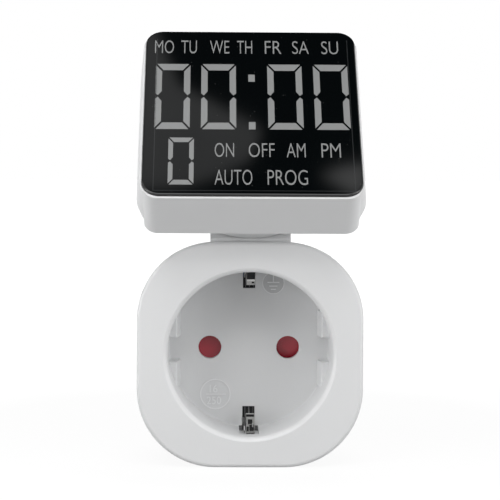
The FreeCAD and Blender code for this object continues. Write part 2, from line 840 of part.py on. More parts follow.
# ---------------------------------------------------------------- power board
def power_board():
    """The mains board, notched for the bosses and drilled for tails and screws."""
    half = board_width / 2
    board = plate(-half, half, -half, half, board_corner, y_board, y_board_back)
    for x, z in boss_places():
        board = board.cut(rod_y(housing_screw_head / 2 + 1.0 + part_gap, y_board - 1,
                                y_board_back + 1, x, z))
    for side in (-1, 1):
        board = board.cut(rod_y(pin_tail_diameter / 2 + fit, y_board - 1, y_board_back + 1, side * pin_x))
        tail = contact_space(side, 0.0).BoundBox
        half_slot = contact_tail_width / 2 + fit
        board = board.cut(block(side * pin_x - half_slot, side * pin_x + half_slot, y_board - 1,
                                y_board_back + 1, tail.ZMax - contact_thickness - fit, tail.ZMax + fit))
        board = board.cut(rod_y(small_screw_diameter / 2 + fit, y_board - 1, y_board_back + 1,
                                side * board_screw_reach, -board_screw_drop))
    return board


def board_screws():
    """The two screws that hold the mains board."""
    screws = [screw(side * board_screw_reach, y_board, -board_screw_drop, (0, 1, 0),
                    board_screw_length, small_screw_diameter - running_fit, small_screw_head,
                    small_head_height) for side in (-1, 1)]
    return Part.makeCompound(screws)


def relay_base():
    """The relay's base plate with its two contact posts."""
    half = relay_width / 2
    inset = relay_wall + fit
    base = block(-half + inset, half - inset, y_board - relay_base_height, y_board,
                 relay_bottom + inset, relay_bottom + relay_depth - inset)
    post_x = half - inset - 1.6
    pivot_x, pivot_y = armature_pivot()
    swing = (post_x + 0.4 - pivot_x) * math.tan(math.radians(armature_travel))
    post = block(post_x - 0.4, post_x + 0.4, pivot_y - armature_gap + swing + fit,
                 y_board - relay_base_height, relay_bottom + 3.4, relay_bottom + relay_depth - 3.4)
    return joined([base, post])


def relay_coil_place():
    """The middle of the relay's coil, as (x, z)."""
    return -1.6, relay_bottom + relay_depth / 2


def relay_coil():
    """The relay's bobbin with its winding and iron core."""
    x, z = relay_coil_place()
    y0 = y_board - relay_base_height
    winding = rod_y(coil_diameter / 2, y0 - 5.8, y0 - 0.7, x, z)
    low_flange = rod_y(coil_diameter / 2 + 0.7, y0 - 0.7, y0, x, z)
    high_flange = rod_y(coil_diameter / 2 + 0.7, y0 - 6.4, y0 - 5.8, x, z)
    core = rod_y(1.2, y0 - 6.8, y0 - 6.4, x, z)
    yoke_x = x - coil_diameter / 2 - 1.0
    yoke = block(yoke_x - 1.0, yoke_x, y0 - 7.0, y0, z - 3.0, z + 3.0)
    foot = block(yoke_x - 1.0, x, y0 - 0.3, y0, z - 3.0, z + 3.0)
    return joined([winding, low_flange, high_flange, core, yoke, foot])


def armature_pivot():
    """The (x, y) line that the relay's armature rocks on."""
    x = relay_coil_place()[0] - coil_diameter / 2 - 1.5
    y = y_board - relay_base_height - 7.0 - fit
    return x, y


def relay_armature():
    """The rocking armature plate with its contact finger."""
    x, z = relay_coil_place()
    pivot_x, pivot_y = armature_pivot()
    end = relay_width / 2 - relay_wall - 0.5
    low = pivot_y - armature_gap
    plate_part = block(pivot_x - 0.4, end, low - armature_thickness, low, z - 2.6, z + 2.6)
    heel = block(pivot_x - 0.4, pivot_x + 0.4, low - 0.1, pivot_y, z - 2.6, z + 2.6)
    return joined([plate_part, heel])


def relay_cover():
    """The relay's five-sided case."""
    half = relay_width / 2
    outer = block(-half, half, y_board - relay_height, y_board, relay_bottom, relay_bottom + relay_depth)
    outer = outer.makeFillet(0.6, edges_in_plane(outer, y_board - relay_height))
    inner = block(-half + relay_wall, half - relay_wall, y_board - relay_height + relay_wall, y_board + 1,
                  relay_bottom + relay_wall, relay_bottom + relay_depth - relay_wall)
    return outer.cut(inner)


def film_capacitor():
    """The dropper capacitor: a potted box standing on the board."""
    left = -film_width + 2.0
    box = block(left, left + film_width, y_board - film_height, y_board, -7.0 - film_depth, -7.0)
    return box.makeFillet(0.5, edges_in_plane(box, y_board - film_height))


def electrolytic_capacitor():
    """The round smoothing capacitor with its grooved can."""
    radius = electrolytic_diameter / 2
    x = 2.0 + 1.2 + radius
    z = -7.4 - radius
    can = rod_y(radius, y_board - electrolytic_height, y_board, x, z)
    can = can.makeFillet(0.5, edges_in_plane(can, y_board - electrolytic_height))
    return can.cut(tube_y(radius + 1, radius - 0.3, y_board - 2.4, y_board - 1.8, x, z))


def varistor():
    """The round surge absorber, standing on edge."""
    z = relay_bottom + relay_depth / 2 - varistor_drop
    x = -relay_width / 2 - relay_neighbour_gap - varistor_thickness
    radius = varistor_diameter / 2
    y = y_board - radius - 1.0
    disc = rod(radius, (x, y, z), (x + varistor_thickness, y, z))
    legs = [rod_y(0.35, y_board - 2.0, y_board, x + varistor_thickness / 2, z + side * 1.8)
            for side in (-1, 1)]
    return joined([disc] + legs)


def connector_place():
    """The middle of the loom's connector on the mains board, as (x, z)."""
    x = relay_width / 2 + relay_neighbour_gap + connector_depth / 2
    return x, relay_bottom + connector_width / 2 - 0.5


def board_connector():
    """The loom's socket on the mains board."""
    x, z = connector_place()
    return block(x - connector_depth / 2, x + connector_depth / 2, y_board - connector_height, y_board,
                 z - connector_width / 2, z + connector_width / 2)


def loom_path(grow):
    """The run from the mains board to the foot of the neck, grown by a clearance."""
    x, z = connector_place()
    start = y_board - connector_height
    neck_y = hinge_place()[0]
    lane = recess_radius + cup_wall + loom_over_cup
    points = [(x, start, z),
              (x, start - loom_rise, z),
              (x - loom_rise + 2.6, start - loom_rise - loom_lift, lane - 2.0),
              (x - loom_step, start - loom_rise - loom_lift - loom_step, lane),
              (x - 2 * loom_step, neck_y + loom_step + 2.0, lane),
              (x - 2 * loom_step - 2.6, neck_y + loom_step - 1.0, lane + loom_climb)]
    return wire_path(points, loom_diameter / 2 + grow)


def body_loom():
    """The lead bundle from the mains board to the foot of the neck."""
    return loom_path(0.0)


# ---------------------------------------------------------------- neck and tilt hinge
def hinge_place():
    """The (y, z) place of the tilt hinge."""
    return head_point(hinge_up, hinge_depth)


def neck_profile():
    """The neck's outline from the side: a wedge that ends in the hinge barrel."""
    hinge_y, hinge_z = hinge_place()
    front = y_face + neck_setback
    lean = math.radians(head_tilt)
    radius = hinge_barrel_radius
    tangent = (hinge_y - radius * math.cos(lean), hinge_z + radius * math.sin(lean))
    drop = (tangent[0] - front) / math.tan(lean)
    low = neck_low
    return [(front, low), (front, tangent[1] - drop), tangent, (hinge_y, hinge_z),
            (hinge_y + radius, hinge_z), (hinge_y + radius, low)]


def neck_fork():
    """The neck: a hollow wedge with two ears, held by a flange inside the housing."""
    hinge_y, hinge_z = hinge_place()
    half = neck_width / 2
    wedge = profile_x(neck_profile(), half)
    barrel = rod(hinge_barrel_radius, (-half, hinge_y, hinge_z), (half, hinge_y, hinge_z))
    y0 = y_face + neck_setback
    y1 = hinge_y + hinge_barrel_radius
    cavity = body_block(y_face + body_wall + over, y_split - part_gap, body_wall + fit)
    flange = block(-half - neck_flange_side, half + neck_flange_side, y0 - neck_flange_end,
                   y1 + neck_flange_end, neck_low, body_half).common(cavity)
    neck = joined([wedge, barrel, flange])
    slot = neck_slot_width / 2
    floor = hinge_z - hinge_barrel_radius - 0.6
    neck = neck.cut(block(-slot, slot, y0 + neck_front_wall, y1 + over, floor, beyond))
    neck = neck.cut(block(-slot, slot, y0 - over, y1 + over, hinge_z - hinge_barrel_radius / 2, beyond))
    neck = neck.cut(rod(hinge_pin_diameter / 2 + fit, (-half + 1.2, hinge_y, hinge_z),
                        (half + 1, hinge_y, hinge_z)))
    neck = neck.cut(rod(1.0, (-half - 1, hinge_y, hinge_z), (half, hinge_y, hinge_z)))
    return neck.cut(block(-neck_lead_half, neck_lead_half, hinge_y - neck_lead_front,
                          hinge_y + neck_lead_back, neck_low - over, floor + over))


def hinge_pin():
    """The steel pin across the neck's ears."""
    hinge_y, hinge_z = hinge_place()
    half = neck_width / 2
    pin = rod(hinge_pin_diameter / 2, (-half + 1.3, hinge_y, hinge_z), (half - 0.2, hinge_y, hinge_z))
    return pin


def friction_washers():
    """The two spring washers that hold the head at any lean."""
    hinge_y, hinge_z = hinge_place()
    rings = []
    for side in (-1, 1):
        inner = side * (lug_width / 2 + running_fit)
        outer = side * (neck_slot_width / 2 - fit)
        ring = rod(washer_diameter / 2, (inner, hinge_y, hinge_z), (outer, hinge_y, hinge_z))
        rings.append(ring.cut(rod(hinge_pin_diameter / 2 + fit, (inner * 3, hinge_y, hinge_z),
                                  (-inner, hinge_y, hinge_z))))
    return Part.makeCompound(rings)


# ---------------------------------------------------------------- tilt bracket (drawn upright)
def tilt_bracket():
    """The round plate the head turns on, with its hub and the hinge lug."""
    y0 = head_depth + part_gap
    y1 = y0 + turret_depth
    disc = rod_y(turret_radius, y0, y1, 0, turret_up)
    disc = disc.makeFillet(turret_edge_round, edges_in_plane(disc, y1))
    hub = rod_y(hub_radius, head_depth - back_wall - running_fit, y0, 0, turret_up)
    half = lug_width / 2
    foot = hinge_barrel_radius + 1.6
    lug = profile_x([(y1 - 0.5, hinge_up - foot), (y1 + hinge_back, hinge_up - hinge_barrel_radius),
                     (y1 + hinge_back, hinge_up + hinge_barrel_radius), (y1 - 0.5, hinge_up + foot)], half)
    barrel = rod(hinge_barrel_radius, (-half, y1 + hinge_back, hinge_up), (half, y1 + hinge_back, hinge_up))
    bracket = joined([disc, hub, lug, barrel])
    bracket = bracket.cut(rod(hinge_pin_diameter / 2 + running_fit, (-half - 1, y1 + hinge_back, hinge_up),
                              (half + 1, y1 + hinge_back, hinge_up)))
    bracket = bracket.cut(rod_y(hub_bore, head_depth - back_wall - 2, y1 + 3, 0, turret_up))
    for x in (-1, 1):
        bracket = bracket.cut(rod_y(small_screw_diameter / 2, head_depth - back_wall - 2, y1 - 1.0,
                                    x * retainer_screw_reach, turret_up))
    return bracket


def swivel_retainer():
    """The ring inside the head that keeps it on the hub."""
    y1 = head_depth - back_wall - running_fit
    ring = tube_y(retainer_radius, hub_bore, y1 - retainer_thickness, y1, 0, turret_up)
    for x in (-1, 1):
        ring = ring.cut(rod_y(small_screw_diameter / 2 + fit, y1 - 3, y1 + 1,
                              x * retainer_screw_reach, turret_up))
    return ring


def retainer_screws():
    """The two screws through the retaining ring into the hub."""
    y_seat = head_depth - back_wall - running_fit - retainer_thickness
    screws = [screw(x * retainer_screw_reach, y_seat, turret_up, (0, 1, 0), 5.0,
                    small_screw_diameter - 0.1, retainer_screw_head, small_head_height)
              for x in (-1, 1)]
    return Part.makeCompound(screws)


# ---------------------------------------------------------------- clock head (drawn upright)
def head_section(depth, inset):
    """The front shell's outline at a depth behind the window, inset from its skin."""
    share = (depth - rim_set_back) / (seam_depth - rim_set_back)
    half = window_width / 2 + rim_side + share * (seam_flare_side - rim_side) - inset
    top = window_height + rim_top + share * (seam_flare_top - rim_top) - inset
    corner = window_corner + 0.8 + share * (seam_corner - window_corner - 0.8) - inset
    return rounded_outline(-half, half, -rim_bottom + inset, top, corner, depth)


def rear_section(depth, inset):
    """The rear cover's outline at a depth, from the seam to the back."""
    share = (depth - seam_depth) / (head_depth - seam_depth)
    half = window_width / 2 + seam_flare_side - share * back_inset_side - inset
    bottom = -rim_bottom + share * back_inset_bottom + inset
    top = window_height + seam_flare_top - share * back_inset_top - inset
    return rounded_outline(-half, half, bottom, top, seam_corner - inset, depth)


def chin_block(depth, inset):
    """The flat-sided chin along the head's bottom, inset from its skin."""
    half = window_width / 2 + seam_flare_side - chin_inset - inset
    bottom = -rim_bottom + inset
    return plate(-half, half, bottom, bottom + 2 * chin_height, chin_corner - min(inset, 3.0),
                 rim_set_back, depth).common(block(-40, 40, -5, 30, -5, chin_height))


def display_window():
    """The black window plate with its soft front edge."""
    half = window_width / 2
    pane = plate(-half, half, 0, window_height, window_corner, 0, window_thickness)
    return pane.makeFillet(window_bevel, edges_in_plane(pane, 0))


def head_boss_places():
    """The four screw bosses in the corners of the head."""
    reach = window_width / 2 + rim_side - head_wall - 1.6
    return [(x, z) for x in (-reach, reach) for z in (chin_height + 3.6, window_height - chin_height)]


def front_skin():
    """The outer form of the head's front shell."""
    skin = between(head_section(rim_set_back, 0), head_section(seam_depth - seam_chamfer, 0))
    skin = skin.makeFillet(rim_round, edges_in_plane(skin, rim_set_back))
    edge = between(head_section(seam_depth - seam_chamfer, 0), head_section(seam_depth, seam_chamfer))
    skin = skin.fuse(edge)
    chin = chin_block(chin_depth, 0)
    return joined([skin, chin])


def head_front_shell():
    """The head's front half: rim, side walls and the deeper chin."""
    shell = front_skin()
    hollow = between(head_section(head_floor + sliding_gap, head_wall),
                     head_section(seam_depth + running_fit, head_wall))
    chin_hollow = chin_block(chin_depth + 1, head_wall)
    chin_hollow = chin_hollow.common(block(-beyond, beyond, head_floor + sliding_gap, beyond,
                                           -beyond, beyond))
    shell = shell.cut(hollow).cut(chin_hollow)
    half = window_width / 2 + fit
    seat = plate(-half, half, -fit, window_height + fit, window_corner + fit, -1, head_floor)
    shell = shell.cut(seat)
    opening_half = window_width / 2 - window_lip
    opening = plate(-opening_half, opening_half, window_lip, window_height - window_lip,
                    window_corner - window_lip + 1.0, -1, head_floor + 3)
    shell = shell.cut(opening)
    for x, z in head_boss_places():
        boss = rod_y(head_boss_radius, head_floor + 0.1, seam_depth, x, z)
        boss = boss.common(between(head_section(rim_set_back, 0.3), head_section(seam_depth, 0.3)))
        boss = boss.cut(plate(-opening_half, opening_half, window_lip, window_height - window_lip,
                              window_corner - window_lip + 1.0, -1, reflector_back + fit))
        shell = shell.fuse(boss)
    for x, z in head_boss_places():
        shell = shell.cut(rod_y(small_screw_diameter / 2, seam_depth - 5.5, seam_depth + 1, x, z))
    for x in key_places():
        shell = shell.cut(key_hole(x))
    return shell.cut(reset_hole()).removeSplitter()


def key_places():
    """Where the keys sit along the top wall."""
    first = -key_pitch * (key_count - 1) / 2
    return [first + key_pitch * index for index in range(key_count)]


def top_wall(depth):
    """The height of the head's top skin at a depth."""
    share = (depth - rim_set_back) / (seam_depth - rim_set_back)
    return window_height + rim_top + share * (seam_flare_top - rim_top)


def key_hole(x):
    """The hole in the top wall for one key."""
    half = key_width / 2 + sliding_gap
    back = key_height / 2 + sliding_gap
    return block(x - half, x + half, key_back - back, key_back + back, flange_top() - over, beyond)


def reset_place():
    """Where the recessed reset button sits along the top wall."""
    return key_places()[-1] + reset_step


def reset_hole():
    """The small round hole over the reset button."""
    x = reset_place()
    return rod(reset_diameter / 2 + sliding_gap, (x, key_back, flange_top() - over), (x, key_back, beyond))


def head_rear_cover():
    """The head's back: rounded shell with the hole it turns on."""
    skin = between(rear_section(seam_depth + seam_chamfer, 0), rear_section(head_depth, 0))
    skin = skin.makeFillet(back_edge_round, edges_in_plane(skin, head_depth))
    edge = between(rear_section(seam_depth, seam_chamfer), rear_section(seam_depth + seam_chamfer, 0))
    skin = skin.fuse(edge)
    hollow = between(rear_section(seam_depth - running_fit, head_wall),
                     rear_section(head_depth - back_wall, head_wall))
    hollow = hollow.makeFillet(back_edge_round - head_wall, edges_in_plane(hollow, head_depth - back_wall))
    cover = skin.cut(hollow)
    chin_room = chin_block(chin_depth + fit, -fit)
    cover = cover.cut(chin_room)
    bosses = []
    for x, z in head_boss_places():
        boss = rod_y(head_boss_radius, seam_depth, head_depth - back_wall + 0.4, x, z)
        bosses.append(boss.common(skin))
    cover = joined([cover] + bosses)
    cover = cover.cut(rod_y(hub_radius + running_fit, head_depth - 5, head_depth + 1, 0, turret_up))
    for x, z in head_boss_places():
        cover = cover.cut(rod_y(small_screw_diameter / 2 + running_fit, seam_depth - over,
                                head_depth + over, x, z))
        cover = cover.cut(rod_y(small_screw_head / 2 + running_fit, head_depth - head_screw_sink,
                                head_depth + 5, x, z))
    return cover


def head_screws():
    """The four screws that hold the head together."""
    y_seat = head_depth - head_screw_sink
    screws = [screw(x, y_seat, z, (0, -1, 0), y_seat - seam_depth + 4.5,
                    small_screw_diameter - 0.1, small_screw_head, small_head_height)
              for x, z in head_boss_places()]
    return Part.makeCompound(screws)


def display_plate(margin, y0, y1):
    """A plate that fills the window's opening, less a margin."""
    half = window_width / 2 - window_lip - margin
    return plate(-half, half, window_lip + margin, window_height - window_lip - margin, 3.6, y0, y1)


def lcd_cell():
    """The liquid-crystal cell: two glasses, the lower one with a contact ledge."""
    cell = display_plate(lcd_margin, lcd_front, lcd_back)
    ledge = block(-30, 30, lcd_front - 1, lcd_front + lcd_thickness / 2, 0, window_lip + lcd_margin + 2.2)
    return cell.cut(ledge)


def lcd_reflector():
    """The white reflector sheet behind the cell."""
    sheet = display_plate(lcd_margin + 0.2, lcd_back, reflector_back)
    low = block(-30, 30, lcd_back - 1, reflector_back + 1, 0, window_lip + lcd_margin + zebra_width + 1.2)
    return sheet.cut(low)


def lcd_frame():
    """The moulded frame that spaces the cell off the head board."""
    half = head_boss_places()[-1][0] - head_boss_radius - part_gap
    outer = display_plate(lcd_margin + 0.2, reflector_back, head_board_front)
    outer = outer.common(block(-half, half, 0, beyond, 0, beyond))
    bound = outer.BoundBox
    inner = block(bound.XMin + frame_bar, bound.XMax - frame_bar, reflector_back - 1, head_board_front + 1,
                  bound.ZMin + frame_bar + zebra_width, bound.ZMax - switch_height - 2.6)
    frame = outer.cut(inner)
    frame = frame.cut(block(-beyond, beyond, reflector_back - 1, head_board_front + 1,
                            switch_top() - switch_height - part_gap, beyond))
    frame = frame.cut(zebra_room(fit))
    return frame


def zebra_room(grow):
    """The slot that the elastomer strip stands in, grown by a clearance."""
    low = window_lip + lcd_margin + 0.6
    half = window_width / 2 - window_lip - 5.5
    return block(-half - grow, half + grow, lcd_back, head_board_front, low - grow,
                 low + zebra_width + grow)


def zebra_strip():
    """The striped elastomer strip that joins the cell to the board."""
    return zebra_room(0.0)


def head_board():
    """The clock's board, notched for the bosses, with a window for the hub."""
    half = window_width / 2 - window_lip - head_board_margin
    margin = window_lip + head_board_margin
    board = plate(-half, half, margin, window_height - margin, head_board_corner,
                  head_board_front, head_board_back)
    for x, z in head_boss_places():
        board = board.cut(rod_y(head_boss_radius + part_gap, head_board_front - over,
                                head_board_back + over, x, z))
    return board.cut(rod_y(board_window_radius, head_board_front - 1, head_board_back + 1, 0, turret_up))


def chip_place():
    """The middle of the timer chip, as (x, z)."""
    return -window_width / 2 + chip_margin, window_height - chip_drop


def timer_chip():
    """The potted blob over the timer chip."""
    x, z = chip_place()
    blob = rod_y(chip_radius, head_board_back, head_board_back + chip_height, x, z)
    return blob.makeFillet(chip_height * 0.8, edges_in_plane(blob, head_board_back + chip_height))


def quartz_crystal():
    """The clock crystal: a small can lying on the board."""
    x, z = chip_place()
    x += crystal_step
    y = head_board_back + crystal_diameter / 2
    return rod(crystal_diameter / 2, (x, y, z), (x, y, z + crystal_length))


def cell_place():
    """The middle of the backup cell, as (x, z)."""
    return window_width / 2 - cell_margin, window_height - cell_drop


def backup_cell():
    """The rechargeable button cell that keeps the time in a power cut."""
    x, z = cell_place()
    cell = rod_y(cell_diameter / 2, head_board_back, head_board_back + cell_thickness - cell_step, x, z)
    cap = rod_y(cell_diameter / 2 - cell_cap_inset, head_board_back, head_board_back + cell_thickness, x, z)
    return joined([cell, cap])


def cell_clip():
    """The sprung clip that holds the cell to the board."""
    x, z = cell_place()
    y1 = head_board_back + cell_thickness
    inner = cell_diameter / 2 + clip_gap
    outer = inner + clip_thickness
    z0 = z - clip_width / 2
    z1 = z + clip_width / 2
    bar = block(x - outer, x + outer, y1, y1 + clip_thickness, z0, z1)
    legs = [block(x - outer, x - inner, head_board_back, y1 + clip_thickness, z0, z1),
            block(x + inner, x + outer, head_board_back, y1 + clip_thickness, z0, z1)]
    return joined([bar] + legs)


def flange_top():
    """The height of the keys' flanges, just under the top wall."""
    return window_height + rim_top - head_wall


def switch_top():
    """The height of the tact switches' plungers, met by a fully pressed key."""
    return flange_top() - key_flange - key_travel - fit


def tact_switches():
    """The row of side-push switches on the board under the keys."""
    top = switch_top()
    places = key_places() + [reset_place()]
    switches = []
    for x in places[:-1]:
        body = block(x - switch_width / 2, x + switch_width / 2, head_board_front - switch_depth,
                     head_board_front, top - switch_height, top - plunger_rise)
        plunger = block(x - plunger_width / 2, x + plunger_width / 2, key_back - plunger_depth / 2,
                        key_back + plunger_depth / 2, top - plunger_rise - fit, top)
        switches.append(joined([body, plunger]))
    return Part.makeCompound(switches)


def key(x):
    """One key: its cap stands through the top wall and its flange stays under it."""
    cap_top = top_wall(key_back) + key_proud
    flange_low = flange_top() - key_flange
    half = key_width / 2
    back = key_height / 2
    cap = block(x - half, x + half, key_back - back, key_back + back, flange_low, cap_top)
    top_edges = [edge for edge in cap.Edges if edge.BoundBox.ZMin > cap_top - 0.01]
    cap = cap.makeFillet(0.4, top_edges)
    lip = key_flange_lip
    flange = block(x - half - lip, x + half + lip, key_back - back - lip, key_back + back + lip,
                   flange_low, flange_top())
    return joined([cap, flange])


def reset_button():
    """The small reset plunger at the bottom of its hole."""
    x = reset_place()
    high = flange_top() - reset_drop
    low = high - key_flange
    stem = rod(reset_diameter / 2, (x, key_back, low), (x, key_back, top_wall(key_back) - reset_drop))
    flange = rod(reset_diameter / 2 + key_flange_lip, (x, key_back, low), (x, key_back, high))
    return joined([stem, flange])


def head_socket_top():
    """The height of the head connector's upper face."""
    return turret_up - board_window_radius - 1.7


def head_connector():
    """The loom's socket on the head board."""
    z = head_socket_top()
    half = connector_width / 2
    return block(-half, half, head_board_back, head_board_back + 2.4, z - connector_depth, z)


def head_loom():
    """The lead bundle from the hub's bore to the head board's socket."""
    top = head_socket_top()
    y_socket = head_board_back + 1.2
    dip = reflector_back + 3.2
    edge = turret_up - board_window_radius
    points = [(0, head_depth + part_gap + turret_depth, turret_up),
              (0, head_depth - back_wall, turret_up),
              (0, dip + 0.4, turret_up - 2.8),
              (0, dip, edge + 4.4),
              (0, y_socket, edge + 1.4),
              (0, y_socket, top)]
    return wire_path(points, loom_diameter / 2)


# ---------------------------------------------------------------- all pieces
def build_body():
    """Make every piece of the housing, plug, socket and neck."""
    keep("front_shell", front_shell())
    keep("rear_shell", rear_shell())
    keep("housing_screws", housing_screws())
    keep("plug_pin_left", plug_pin(-1))
    keep("plug_pin_right", plug_pin(1))
    keep("pin_carrier", pin_carrier())
    keep("earth_pin_socket", earth_pin_socket())
    keep("plug_earth_lower", plug_earth(-1))
    keep("plug_earth_upper", plug_earth(1))
    keep("shutter", shutter())
    keep("shutter_spring", shutter_spring())
    keep("contact_carrier", contact_carrier())
    keep("carrier_screws", carrier_screws())
    keep("socket_contact_left", socket_contact(-1))
    keep("socket_contact_right", socket_contact(1))
    keep("earth_clip_lower", earth_clip(-1))
    keep("earth_clip_upper", earth_clip(1))
    keep("earth_bridge", earth_bridge())
    keep("power_board", power_board())
    keep("board_screws", board_screws())
    keep("relay_base", relay_base())
    keep("relay_coil", relay_coil())
    keep("relay_armature", relay_armature())
    keep("relay_cover", relay_cover())
    keep("film_capacitor", film_capacitor())
    keep("electrolytic_capacitor", electrolytic_capacitor())
    keep("varistor", varistor())
    keep("board_connector", board_connector())
    keep("body_loom", body_loom())
    keep("neck_fork", neck_fork())
    keep("hinge_pin", hinge_pin())
    keep("friction_washers", friction_washers())


def build_head():
    """Make every piece of the tilt bracket and the clock head, and lean them in place."""
    upright = {
        "tilt_bracket": tilt_bracket(),
        "swivel_retainer": swivel_retainer(),
        "retainer_screws": retainer_screws(),
        "display_window": display_window(),
        "head_front_shell": head_front_shell(),
        "head_rear_cover": head_rear_cover(),
        "head_screws": head_screws(),
        "lcd_cell": lcd_cell(),
        "lcd_reflector": lcd_reflector(),
        "lcd_frame": lcd_frame(),
        "zebra_strip": zebra_strip(),
        "head_board": head_board(),
        "timer_chip": timer_chip(),
        "quartz_crystal": quartz_crystal(),
        "backup_cell": backup_cell(),
        "cell_clip": cell_clip(),
        "tact_switches": tact_switches(),
        "head_connector": head_connector(),
        "head_loom": head_loom(),
        "reset_button": reset_button(),
    }
    for index, x in enumerate(key_places()):
        upright[f"key_{index + 1}"] = key(x)
    for name, shape in upright.items():
        keep(name, place_head(shape))


build_body()
build_head()
os.makedirs("parts", exist_ok=True)
for name, shape in nodes.items():
    shape.exportStep(f"parts/{name}.step")
    print(f"{name}: {len(shape.Solids)} solid, {shape.Volume:.1f} mm3, valid {shape.isValid()}")
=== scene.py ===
import json
import logging
import math
from dataclasses import dataclass, field
from enum import Enum
from typing import Callable, Mapping, Sequence, Union

import bmesh
import bpy
from bpy.types import ID, Material, Mesh, Node, NodeOutputs, NodeSocket, NodeTree, Object, World
from mathutils import Matrix, Vector


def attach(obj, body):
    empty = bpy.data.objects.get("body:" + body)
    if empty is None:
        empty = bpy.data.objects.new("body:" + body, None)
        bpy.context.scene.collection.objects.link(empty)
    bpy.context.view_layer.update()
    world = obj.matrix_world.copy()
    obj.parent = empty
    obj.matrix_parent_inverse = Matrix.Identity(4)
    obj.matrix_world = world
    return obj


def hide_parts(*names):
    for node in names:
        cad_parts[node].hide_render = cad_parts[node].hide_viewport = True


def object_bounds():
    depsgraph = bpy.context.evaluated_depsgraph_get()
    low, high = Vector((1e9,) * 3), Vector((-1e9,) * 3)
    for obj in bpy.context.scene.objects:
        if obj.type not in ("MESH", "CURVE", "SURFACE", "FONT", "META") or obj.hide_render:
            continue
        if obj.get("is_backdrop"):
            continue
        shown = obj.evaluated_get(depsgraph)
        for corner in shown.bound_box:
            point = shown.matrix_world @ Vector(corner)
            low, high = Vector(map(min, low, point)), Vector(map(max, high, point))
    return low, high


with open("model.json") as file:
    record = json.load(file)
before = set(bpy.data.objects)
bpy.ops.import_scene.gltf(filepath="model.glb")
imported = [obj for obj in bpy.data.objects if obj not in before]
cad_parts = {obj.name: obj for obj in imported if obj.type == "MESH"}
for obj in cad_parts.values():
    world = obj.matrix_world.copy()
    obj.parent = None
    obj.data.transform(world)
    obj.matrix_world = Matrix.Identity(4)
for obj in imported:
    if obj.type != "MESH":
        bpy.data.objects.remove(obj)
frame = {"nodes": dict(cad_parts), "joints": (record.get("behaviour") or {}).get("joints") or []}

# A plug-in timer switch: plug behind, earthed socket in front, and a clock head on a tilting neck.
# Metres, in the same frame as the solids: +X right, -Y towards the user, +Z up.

MM = 0.001
RIGHT, UP = Vector((1.0, 0.0, 0.0)), Vector((0.0, 0.0, 1.0))
AHEAD, BEHIND = Vector((0.0, -1.0, 0.0)), Vector((0.0, 1.0, 0.0))
Point = tuple[float, float]
Triple = tuple[float, float, float]
Box = tuple[float, float, float, float]
Outline = Sequence[Point]
Feed = Union[NodeSocket, float, int, bool, str, tuple, Vector, Material, Object]
Inputs = Mapping[Union[str, int], Feed]
log = logging.getLogger("timer_switch")


class Body(Enum):
    """The moving bodies that pieces ride on."""

    HOUSING = "housing"
    BRACKET = "bracket"
    HEAD = "head"


class Ray(Enum):
    """The kinds of ray that see the plain white surroundings."""

    CAMERA = "Is Camera Ray"
    GLOSSY = "Is Glossy Ray"
    TRANSMISSION = "Is Transmission Ray"


def mm(*sizes: float) -> tuple[float, ...]:
    """Give sizes in metres from millimetres."""
    return tuple(size * MM for size in sizes)


def grey(level: float) -> Box:
    """Give a grey of one brightness, where 1 is white."""
    return (level, level, level, 1.0)


def linked(name: str, data: ID) -> Object:
    """Make an object and put it in the scene.

    Args:
        name: Its name.
        data: Its mesh, curve, lamp or camera.

    Returns:
        The object.
    """
    made = bpy.data.objects.new(name, data)
    bpy.context.scene.collection.objects.link(made)
    return made


def turned_to(right: Vector, up: Vector, off: Vector, place: Vector) -> Matrix:
    """Give the transform that takes X, Y and Z to three directions and the origin to a place.

    Args:
        right: Where X goes.
        up: Where Y goes.
        off: Where Z goes.
        place: Where the origin goes.

    Returns:
        The transform.
    """
    matrix = Matrix((right, up, off)).transposed().to_4x4()
    matrix.translation = place
    return matrix


